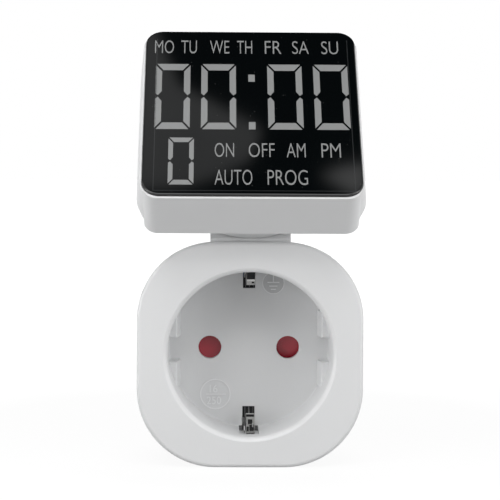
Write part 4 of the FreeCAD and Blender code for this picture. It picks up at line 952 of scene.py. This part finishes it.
@dataclass
class EarthSpring:
    """One sprung earth contact in the recess: a broad leaf, a narrow side leaf and the slot behind, darkened
    with painted shade.

    Points of a run are depth and height. A plate in the slot has its near and far depth.

    Attributes:
        name: Which of the two it is.
        side: 1 for the upper one, -1 for the lower.
        node: The solid it stands for.
        shades: Plates of painted shade on the leaf, each as its left, right, start and end from the bend.
        shines: Low plates coloured as a painted highlight on the leaf, in the same way.
        leaf: Left and right edge of the broad leaf.
        narrow: Left and right edge of the side leaf, which is coloured as a painted half shade.
        bead: Left and right edge of the pressed strip on the side leaf, which is coloured as a painted
            highlight.
        metal: Thickness of the strip.
        bead_metal: Thickness of the bead.
        sunk: How far the plates of painted shade and painted highlight reach into the leaf.
        shade_proud: How far a plate of painted shade stands off it.
        shine_proud: How far a plate of painted highlight stands off it.
        run: The broad leaf, from its front end over its innermost bend and the slot to its end by the board.
        side_run: The side leaf.
        bead_run: The bead on the side leaf.
        slot: Half width, near and far edge of the slot in the recess floor.
        slot_shade_plate: The plate of painted shade at the slot's bottom.
        tongue: Near and far half of the tongue in the slot, each as left and right.
        rails: The two rails beside it, each as left and right.
        tongue_plate: Depths of the tongue and rails, which are coloured as a painted half shade, paler than
            the slot.
        pocket: Near side, far side, near edge and far edge of the wall pocket beside the leaf.
        pocket_shade_plate: Depths of the plates in the pocket, which are coloured as a painted half shade.
    """

    name: str
    side: int
    node: str
    shades: Sequence[Box]
    shines: Sequence[Box]
    leaf: Point = mm(-0.74, 1.28)
    narrow: Point = mm(-1.28, -0.96)
    bead: Point = mm(-1.25, -1.02)
    metal: float = 0.40 * MM
    bead_metal: float = 0.24 * MM
    sunk: float = 0.03 * MM
    shade_proud: float = 0.02 * MM
    shine_proud: float = 0.08 * MM
    run: tuple[Point, ...] = (mm(-53.0, 19.72), mm(-46.55, 15.62), mm(-42.55, 17.6), mm(-37.5, 17.7),
                              mm(-33.5, 19.05), mm(-23.8, 19.05))
    side_run: tuple[Point, ...] = (mm(-51.5, 19.3), mm(-45.0, 17.4), mm(-41.0, 17.5), mm(-38.5, 17.6))
    bead_run: tuple[Point, ...] = (mm(-51.4, 19.06), mm(-49.2, 18.42))
    slot: Triple = mm(1.46, 14.5, 17.25)
    slot_shade_plate: Point = mm(-41.6, -41.1)
    tongue: Box = mm(-0.02, 0.14, -0.10, 0.40)
    rails: tuple[Point, ...] = (mm(-0.94, -0.80), mm(1.04, 1.14))
    tongue_plate: Point = mm(-41.7, -41.6)
    pocket: Box = mm(1.52, 2.32, 19.2, 20.8)
    pocket_shade_plate: Point = mm(-42.0, -41.2)

    def line(self, places: Sequence[Point]) -> list[Vector]:
        """Give points of the YZ plane on this contact's side."""
        return [Vector((0.0, depth, self.side * height)) for depth, height in places]

    def on_leaf(self, marks: Sequence[Box], proud: float) -> Mesh:
        """Make shallow plates that lie on the leaf's face.

        Args:
            marks: Left, right, start and end of each, from the bend.
            proud: How far they stand off the leaf.

        Returns:
            The plates.
        """
        tip, bend = self.line(self.run[:2])
        along = (tip - bend).normalized()
        off = Vector((0.0, -abs(along.z), -self.side * abs(along.y)))
        mesh = blocks("plates", [rectangle(*mark) for mark in marks], -self.sunk, proud)
        mesh.transform(turned_to(RIGHT, along, off, bend + off * self.metal / 2))
        return outward(mesh)

    def in_slot(self, outlines: Sequence[Outline], depths: Point) -> Mesh:
        """Make upright plates in the slot.

        Args:
            outlines: Their corners, across and away from the socket's middle.
            depths: Their near and far depth.

        Returns:
            The plates.
        """
        mesh = blocks("plates", outlines, *depths)
        mesh.transform(turned_to(RIGHT, UP * self.side, BEHIND, Vector()))
        return outward(mesh)

    def build(self) -> None:
        """Make the leaves, their plates of painted shade and painted highlight, and the plates of painted
        shade in the slot and the pocket.
        """
        half, near, far = self.slot
        inner, outer, low, high = self.pocket
        foot_left, foot_right, head_left, head_right = self.tongue
        tongue = [(foot_left, near), (foot_right, near), (head_right, far), (head_left, far)]
        leaf = [ribbon(rounded(self.line(self.run)), self.leaf, self.metal)]
        # Painted shade: a dark plate filling the slot and dark plates on the leaf.
        dark = [self.in_slot([rectangle(-half, half, near, far)], self.slot_shade_plate),
                self.on_leaf(self.shades, self.shade_proud)]
        rails = [rectangle(*rail, near, far) for rail in self.rails]
        # Painted half shade: the tongue, rails, pocket plates and side leaf, in a grey between the shaded and
        # the lit steel.
        dull = [self.in_slot([tongue, *rails], self.tongue_plate),
                self.in_slot([rectangle(inner, outer, low, high), rectangle(-outer, -inner, low, high)],
                             self.pocket_shade_plate),
                ribbon(rounded(self.line(self.side_run)), self.narrow, self.metal)]
        # Painted highlight: bright plates on the leaf and the strip on the side leaf.
        shine = [self.on_leaf(self.shines, self.shine_proud),
                 ribbon(self.line(self.bead_run), self.bead, self.bead_metal)]
        for part, meshes, finish, replaces in (("spring", leaf, "spring_steel", (self.node,)),
                                               ("shade", dark, "shaded_steel", ()),
                                               ("guide", dull, "dull_steel", ()),
                                               ("bead", shine, "bright_steel", ())):
            name = f"earth_{part}_{self.name}"
            settle(name, joined(name, meshes), Body.HOUSING, FINISHES[finish], replaces=replaces)


# ------------------------------------------------------------------ screws
@dataclass(frozen=True)
class ScrewSize:
    """The size of one screw, measured on its solid.

    Attributes:
        head: Radius of the head.
        cap: Height of the head.
        shank: Radius of the shank.
        length: Length of the shank.
    """

    head: float
    cap: float
    shank: float
    length: float


@dataclass
class Screws:
    """Pan-head screws with a cross recess and a rolled thread, set on the seats of their solids.

    Attributes:
        node: The solids that they stand for.
        body: The body that they are in.
        way: From the tip of a screw to its head.
        pitch: Rise of the thread in one turn.
        sectors: Corners round the screw.
        rows: Rows in one turn of the thread.
        weld: Corners nearer than this are one.
        near: Corners this near the end or the rim of a solid belong to it.
        groove: Depth of the thread, as a share of the shank's radius.
        start: How far above the tip the thread starts.
        spare: Length of shank without a thread.
        neck: Length of plain shank under the head.
        point: The tip's rings, as a share of the shank's radius and the height over the end.
        crown: The head's rings, as shares of its radius and height.
        recess: The cross's rings: reach and half width, as shares of the head's radius, and height.
        pit: Height of the middle of the recess, as a share of the head's.
    """

    node: str
    body: Body
    way: Vector
    pitch: float = 0.9 * MM
    sectors: int = 40
    rows: int = 4
    weld: float = 0.01 * MM
    near: float = 0.05 * MM
    groove: float = 0.14
    start: float = 0.3 * MM
    spare: float = 0.6 * MM
    neck: float = 0.1 * MM
    point: tuple[Point, ...] = ((0.55, 0.0), (0.8, 0.15 * MM))
    crown: tuple[Point, ...] = ((0.97, 0.0), (1.0, 0.06), (1.0, 0.55), (0.94, 0.80), (0.80, 0.95))
    recess: tuple[Triple, ...] = ((0.62, 0.15, 1.0), (0.40, 0.10, 0.45))
    pit: float = 0.35

    def solids(self) -> list[list[Vector]]:
        """Give the corners of each separate screw in the node.

        Returns:
            One list of corners for each screw, from left to right and upwards.
        """
        work = bmesh.new()
        work.from_mesh(frame["nodes"][self.node].data)
        bmesh.ops.remove_doubles(work, verts=work.verts, dist=self.weld)
        waiting = set(work.verts)
        found = []
        while waiting:
            reached = [waiting.pop()]
            for vertex in reached:
                for edge in vertex.link_edges:
                    other = edge.other_vert(vertex)
                    if other in waiting:
                        waiting.remove(other)
                        reached.append(other)
            found.append([vertex.co.copy() for vertex in reached])
        work.free()
        return sorted(found, key=lambda corners: min((corner.x, corner.z) for corner in corners))

    def measure(self, corners: Sequence[Vector]) -> tuple[Vector, ScrewSize]:
        """Find where a screw's head bears, and its sizes.

        Args:
            corners: The screw's corners.

        Returns:
            The middle of the face under its head, and its sizes.
        """
        heights = [corner.dot(self.way) for corner in corners]
        tip, top = min(heights), max(heights)
        end = [corner for corner, height in zip(corners, heights) if height < tip + self.near]
        middle = sum(end, Vector()) / len(end)
        reach = [(corner - middle - self.way * (corner - middle).dot(self.way)).length for corner in corners]
        head = max(reach)
        seat = min(height for height, radius in zip(heights, reach) if radius > head - self.near)
        shank = max(radius for height, radius in zip(heights, reach) if height < tip + self.near)
        place = middle + self.way * (seat - middle.dot(self.way))
        return place, ScrewSize(head, top - seat, shank, seat - tip)

    def ring(self, height: float, radius: Callable[[float], float]) -> list[Triple]:
        """Give one level ring of points.

        Args:
            height: Its height.
            radius: Its radius at each turn.

        Returns:
            The points.
        """
        turns = [math.tau * step / self.sectors for step in range(self.sectors)]
        return [(radius(turn) * math.cos(turn), radius(turn) * math.sin(turn), height) for turn in turns]

    def shape(self, size: ScrewSize) -> Mesh:
        """Make one screw with its bearing face at zero and its head along Z.

        Args:
            size: Its size.

        Returns:
            The closed mesh.
        """
        def level(radius: float, height: float) -> list[Triple]:
            """Give a round ring."""
            return self.ring(height, lambda turn: radius)

        def thread(row: int) -> list[Triple]:
            """Give one row of the thread."""
            start, depth = math.tau * row / self.rows, size.shank * self.groove
            return self.ring(row * self.pitch / self.rows + self.start - size.length,
                             lambda turn: size.shank - depth * (0.5 - 0.5 * math.cos(start - turn)))

        def cross(turn: float, reach: float, arm: float) -> float:
            """Give the radius of a cross's outline at a turn."""
            fold = abs((turn + math.pi / 4) % (math.pi / 2) - math.pi / 4)
            return size.head * min(reach, arm / max(math.sin(fold), tiny))

        tiny = 1e-6
        rows = int((size.length - self.spare) / (self.pitch / self.rows))
        rings = [*(level(size.shank * share, rise - size.length) for share, rise in self.point),
                 *(thread(row) for row in range(rows)),
                 level(size.shank, -self.neck), level(size.shank, 0.0),
                 *(level(size.head * share, size.cap * rise) for share, rise in self.crown),
                 *(self.ring(size.cap * rise, lambda turn: cross(turn, reach, arm))
                   for reach, arm, rise in self.recess)]
        points = [point for one in rings for point in one]
        last = len(points) - self.sectors
        points += [(0.0, 0.0, size.cap * self.pit), (0.0, 0.0, -size.length)]
        faces = []
        for step in range(self.sectors):
            after = (step + 1) % self.sectors
            faces += [(low + step, low + after, low + self.sectors + after, low + self.sectors + step)
                      for low in range(0, last, self.sectors)]
            faces += [(last + step, last + after, len(points) - 2), (after, step, len(points) - 1)]
        return mesh_of("screw", points, faces)

    def build(self) -> None:
        """Set one screw on every seat."""
        found = [self.measure(corners) for corners in self.solids()]
        finish = FINISHES["screw_steel"]
        mesh = repeated(self.shape(found[0][1]), [Seat(place, self.way) for place, _ in found], finish)
        settle(f"{self.node}_set", mesh, self.body, finish, smooth=40.0, replaces=(self.node,))


# ------------------------------------------------------------------ sub-assemblies
@dataclass
class SubAssembly:
    """A sub-assembly: solids that keep their shape, and the pieces that detail them.

    Attributes:
        solids: The solids' names.
        plane: The window's plane, which the turret is parallel to.
    """

    solids: tuple[str, ...] = ()
    plane: WindowPlane = field(default_factory=WindowPlane)

    def pieces(self) -> None:
        """Make the pieces that detail the solids; a sub-assembly may have none."""

    def build(self) -> None:
        """Make the pieces, then dress the solids."""
        self.pieces()
        dress(self.solids)
        log.info("%s: %d solids", type(self).__name__, len(self.solids))


@dataclass
class ClockHead(SubAssembly):
    """The head: its two halves, the window with what shows in it, and the clock's board."""

    solids: tuple[str, ...] = (
        "head_front_shell", "head_rear_cover", "display_window", "head_screws", "lcd_cell", "lcd_reflector",
        "lcd_frame", "zebra_strip", "head_board", "timer_chip", "quartz_crystal", "backup_cell", "cell_clip",
        "tact_switches", "head_connector", "head_loom")

    def pieces(self) -> None:
        """Make the display and the cover's screws."""
        Display(self.plane).build()
        Screws("head_screws", Body.HEAD, self.plane.back).build()


@dataclass
class SocketHalf(SubAssembly):
    """The body's front half: shell, shutter, sprung earth contacts and what carries the live ones.

    Attributes:
        marks: The raised marks on the recess floor.
        springs: The sprung earth contacts.
    """

    solids: tuple[str, ...] = (
        "front_shell", "shutter", "shutter_spring", "contact_carrier", "carrier_screws",
        "socket_contact_left", "socket_contact_right", "earth_clip_upper", "earth_clip_lower", "earth_bridge")
    marks: SocketMarks = field(default_factory=SocketMarks)
    springs: tuple[EarthSpring, ...] = (
        # Each spring takes boxes for its plates of painted shade, then for its plates of painted highlight.
        EarthSpring("upper", 1, "earth_clip_upper", (mm(-0.70, 1.24, 3.1, 7.4), mm(0.5, 1.1, 1.2, 1.9)),
                    (mm(-0.70, 1.24, 2.6, 2.9),)),
        EarthSpring("lower", -1, "earth_clip_lower",
                    (mm(-0.70, 1.24, 0.55, 1.45), mm(-0.28, 0.82, 2.4, 4.1), mm(-0.60, -0.1, 5.0, 6.7),
                     mm(0.04, 1.15, 4.3, 6.6), mm(-0.70, 1.24, 7.45, 7.66)),
                    (mm(0.72, 0.98, 3.8, 5.3), mm(-0.68, -0.46, 3.3, 4.9))))

    def pieces(self) -> None:
        """Make the recess's marks, the earth springs and the carrier's screws."""
        for part in (self.marks, *self.springs, Screws("carrier_screws", Body.HOUSING, BEHIND)):
            part.build()


@dataclass
class PlugHalf(SubAssembly):
    """The body's back half: shell, pins, side earth contacts and the four long screws."""

    solids: tuple[str, ...] = (
        "rear_shell", "housing_screws", "plug_pin_left", "plug_pin_right", "pin_carrier", "earth_pin_socket",
        "plug_earth_lower", "plug_earth_upper")

    def pieces(self) -> None:
        """Make the screws that hold the halves together."""
        Screws("housing_screws", Body.HOUSING, BEHIND).build()


@dataclass
class PowerBoard(SubAssembly):
    """The supply and the relay on their board, with the loom that goes up the neck."""

    solids: tuple[str, ...] = (
        "power_board", "board_screws", "relay_base", "relay_coil", "relay_armature", "relay_cover",
        "film_capacitor", "electrolytic_capacitor", "varistor", "board_connector", "body_loom")

    def pieces(self) -> None:
        """Make the board's screws."""
        Screws("board_screws", Body.HOUSING, AHEAD).build()


@dataclass
class Neck(SubAssembly):
    """The fork on the body, its pin, and the lug and turret that the head turns on."""

    solids: tuple[str, ...] = (
        "neck_fork", "hinge_pin", "friction_washers", "tilt_bracket", "swivel_retainer", "retainer_screws")

    def pieces(self) -> None:
        """Make the screws that hold the turret to its retainer."""
        Screws("retainer_screws", Body.BRACKET, -self.plane.back).build()


@dataclass
class Keys(SubAssembly):
    """The keys along the head's top edge, and the reset button."""

    solids: tuple[str, ...] = ("key_1", "key_2", "key_3", "key_4", "key_5", "key_6", "reset_button")


# ------------------------------------------------------------------ studio
@dataclass(frozen=True)
class Lamp:
    """One soft lamp.

    Attributes:
        name: Its name.
        place: Where it stands.
        size: Width and height of its face.
        power: Watts.
    """

    name: str
    place: Triple
    size: Point
    power: float

    def build(self, target: Vector) -> None:
        """Make the lamp and aim it.

        Args:
            target: What it lights.
        """
        light = bpy.data.lights.new(self.name, "AREA")
        light.shape = "RECTANGLE"
        light.size, light.size_y = self.size
        light.energy = self.power
        lamp = linked(self.name, light)
        lamp.location = self.place
        lamp.rotation_mode = "QUATERNION"
        lamp.rotation_quaternion = (target - Vector(self.place)).to_track_quat("-Z", "Y")


def backdrop(name: str, reach: float, height: float, made: Material, faces_up: bool = True) -> Object:
    """Lay a square sheet that isn't part of the object.

    Args:
        name: Its name.
        reach: Half its side.
        height: Its height.
        made: Its material.
        faces_up: Whether it faces up or down.

    Returns:
        The sheet.
    """
    corners = rectangle(-reach, reach, -reach, reach)
    mesh = mesh_of(name, [(x, y, height) for x, y in corners], [range(4) if faces_up else range(3, -1, -1)])
    mesh.materials.append(made)
    sheet = linked(name, mesh)
    sheet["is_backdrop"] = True
    return sheet


@dataclass
class Ceiling:
    """A dark card overhead that only gloss sees, with paler patches for the window to mirror.

    Attributes:
        height: How high it hangs.
        reach: Half its side.
        soft: Width over which a patch's edges fade.
        dark: Strength of the card.
        cloud_scale: Size of the clouds over the patches, in repeats per metre.
        cloud: Least and most strength of the clouds.
        patches: Strength of each paler patch and its corners, anticlockwise seen from above.
    """

    height: float = 0.60
    reach: float = 0.34
    soft: float = 0.006
    dark: float = 0.005
    cloud_scale: float = 14.0
    cloud: Point = (0.75, 1.1)
    patches: tuple[tuple[float, Outline], ...] = (
        (0.66, ((-0.080, -0.128), (-0.019, -0.124), (0.011, -0.110), (0.017, -0.094), (-0.080, -0.043))),
        (0.66, ((-0.080, -0.124), (-0.046, -0.124), (-0.024, -0.077), (-0.041, -0.038), (-0.080, -0.038))),
        (1.20, ((0.049, -0.118), (0.069, -0.129), (0.074, -0.113), (0.064, -0.112))))

    def patch(self, graph: Graph, place: Feed, corners: Outline) -> NodeSocket:
        """Give the mask of one patch, faded at its edges.

        Args:
            graph: The material's graph.
            place: Object coordinates.
            corners: The patch's corners.

        Returns:
            The mask, from 0 to 1.
        """
        mask: Feed = 1.0
        for start, end in zip(corners, (*corners[1:], corners[0])):
            inward = Vector((start[1] - end[1], end[0] - start[0], 0.0)).normalized()
            across = graph.add("ShaderNodeVectorMath", {0: place, 1: inward}, operation="DOT_PRODUCT")
            line = Vector((*start, 0.0)).dot(inward)
            inside = graph.ramp(across.outputs["Value"], line - self.soft / 2, line + self.soft / 2)
            mask = graph.math("MULTIPLY", mask, inside)
        return mask

    def build(self) -> None:
        """Hang the card."""
        made = bpy.data.materials.new("ceiling_card")
        graph = emptied(made)
        place = graph.add("ShaderNodeTexCoord").outputs["Object"]
        pale: Feed = 0.0
        for strength, corners in self.patches:
            lit = graph.math("MULTIPLY", self.patch(graph, place, corners), strength)
            pale = graph.math("MAXIMUM", pale, lit)
        cloud = graph.ramp(graph.noise(place, self.cloud_scale), 0.2, 0.8, *self.cloud)
        strength = graph.math("MULTIPLY_ADD", pale, cloud, self.dark)
        glow = graph.add("ShaderNodeEmission", {"Color": grey(1.0), "Strength": strength})
        graph.add("ShaderNodeOutputMaterial", {"Surface": glow.outputs[0]})
        card = backdrop("ceiling", self.reach, self.height, made, faces_up=False)
        card.visible_camera = card.visible_diffuse = card.visible_shadow = False
        card.visible_transmission = card.visible_volume_scatter = False


@dataclass
class Studio:
    """A pale floor, a white surround, soft lamps and the camera.

    Attributes:
        eye: Where the camera stands.
        yaw: Its turn to the right.
        pitch: Its tilt upwards.
        roll: Its roll.
        lens: Focal length in millimetres.
        sensor: Width of the frame behind it, in millimetres.
        clip: Nearest and farthest distance that it sees.
        ambient: Strength of the surround as light.
        floor_reach: Half the floor's side.
        floor_near: Distance from the middle over which the lit floor fades to plain white.
        floor_keep: Share of the floor near the object that is lit rather than plain white.
        floor_glow: Strength of the plain white.
        floor_bounce: How much of its light the floor gives back.
        fibre_scale: Size of its fibres, in repeats per metre.
        fibre: Their brightness.
        fibre_share: How strongly they show.
        lamps: The lamps.
    """

    eye: Vector = Vector((-0.009267, -0.498709, 0.050678))
    yaw: float = 0.0206467
    pitch: float = -0.0588551
    roll: float = 0.00541607
    lens: float = 135.41
    sensor: float = 36.0
    clip: Point = (0.01, 20.0)
    ambient: float = 0.06
    floor_reach: float = 3.0
    floor_near: Point = (0.08, 0.26)
    floor_keep: float = 0.22
    floor_glow: float = 1.18
    floor_bounce: float = 0.35
    fibre_scale: float = 900.0
    fibre: float = 0.8
    fibre_share: float = 0.2
    lamps: tuple[Lamp, ...] = (
        Lamp("key_lamp", (-0.04, -0.29, 0.36), (0.40, 0.30), 1.13),
        Lamp("left_lamp", (-0.50, -0.46, 0.12), (0.40, 0.36), 1.38),
        Lamp("right_lamp", (0.50, -0.46, 0.12), (0.36, 0.36), 1.24),
        Lamp("left_low_lamp", (-0.60, -0.24, 0.03), (0.30, 0.10), 0.95),
        Lamp("right_low_lamp", (0.60, -0.24, 0.03), (0.30, 0.10), 1.05),
        Lamp("back_lamp", (0.10, 0.70, 0.40), (0.60, 0.50), 4.2))

    @staticmethod
    def seen(graph: Graph) -> NodeSocket:
        """Tell the rays that look at the surroundings from those that carry light.

        Args:
            graph: The material's or world's graph.

        Returns:
            1 for the rays that look, 0 for the others.
        """
        path = graph.add("ShaderNodeLightPath").outputs
        total = path[Ray.CAMERA.value]
        for ray in (Ray.GLOSSY, Ray.TRANSMISSION):
            total = graph.math("MAXIMUM", total, path[ray.value])
        return total

    def surround(self) -> None:
        """Make the world: plain white to look at, softer as light."""
        world = bpy.data.worlds.new("surround")
        bpy.context.scene.world = world
        graph = emptied(world)
        strength = graph.math("MULTIPLY_ADD", self.seen(graph), 1.0 - self.ambient, self.ambient)
        sky = graph.add("ShaderNodeBackground", {"Color": grey(1.0), "Strength": strength})
        graph.add("ShaderNodeOutputWorld", {"Surface": sky.outputs[0]})

    def floor(self, low: float) -> None:
        """Lay the floor.

        Args:
            low: Height of the object's lowest point.
        """
        made = bpy.data.materials.new("floor_white")
        graph = emptied(made)
        place = graph.add("ShaderNodeTexCoord").outputs["Object"]
        far = graph.add("ShaderNodeVectorMath", {0: place}, operation="LENGTH").outputs["Value"]
        near = graph.ramp(far, *self.floor_near, self.floor_keep, 0.0)
        fibre = graph.math("MULTIPLY", graph.noise(place, self.fibre_scale, detail=3.0), self.fibre_share)
        tint = graph.blend(fibre, grey(self.floor_bounce), grey(self.fibre))
        cloth = graph.add("ShaderNodeBsdfDiffuse", {"Color": tint})
        glow = graph.add("ShaderNodeEmission", {"Color": grey(1.0), "Strength": self.floor_glow})
        share = graph.math("MULTIPLY", self.seen(graph), graph.math("SUBTRACT", 1.0, near))
        mixed = graph.add("ShaderNodeMixShader", {0: share, 1: cloth.outputs[0], 2: glow.outputs[0]})
        graph.add("ShaderNodeOutputMaterial", {"Surface": mixed.outputs[0]})
        backdrop("floor", self.floor_reach, low, made)

    def camera(self) -> None:
        """Stand the camera up."""
        lens = bpy.data.cameras.new("camera")
        lens.lens, lens.sensor_width = self.lens, self.sensor
        lens.clip_start, lens.clip_end = self.clip
        level = Vector((math.sin(self.yaw), math.cos(self.yaw), 0.0))
        ahead = level * math.cos(self.pitch) + UP * math.sin(self.pitch)
        right = level.cross(UP)
        over = right.cross(ahead)
        side = right * math.cos(self.roll) + over * math.sin(self.roll)
        top = over * math.cos(self.roll) - right * math.sin(self.roll)
        holder = linked("camera", lens)
        holder.matrix_world = turned_to(side, top, -ahead, self.eye)
        bpy.context.scene.camera = holder

    def build(self) -> None:
        """Make the whole studio."""
        low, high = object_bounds()
        self.surround()
        self.floor(low.z)
        Ceiling().build()
        for lamp in self.lamps:
            lamp.build((low + high) / 2)
        self.camera()
        bpy.context.scene.view_settings.view_transform = "Standard"


def main() -> None:
    """Build the timer switch's looks round the solids."""
    logging.basicConfig(level=logging.INFO, format="%(message)s")
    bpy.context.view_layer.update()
    assemblies = (ClockHead(), SocketHalf(), PlugHalf(), PowerBoard(), Neck(), Keys())
    for assembly in assemblies:
        assembly.build()
    left = set(frame["nodes"]).difference(*(assembly.solids for assembly in assemblies))
    if left:
        raise RuntimeError("No sub-assembly dresses " + ", ".join(sorted(left)))
    Studio().build()


if __name__ == "__main__":
    main()
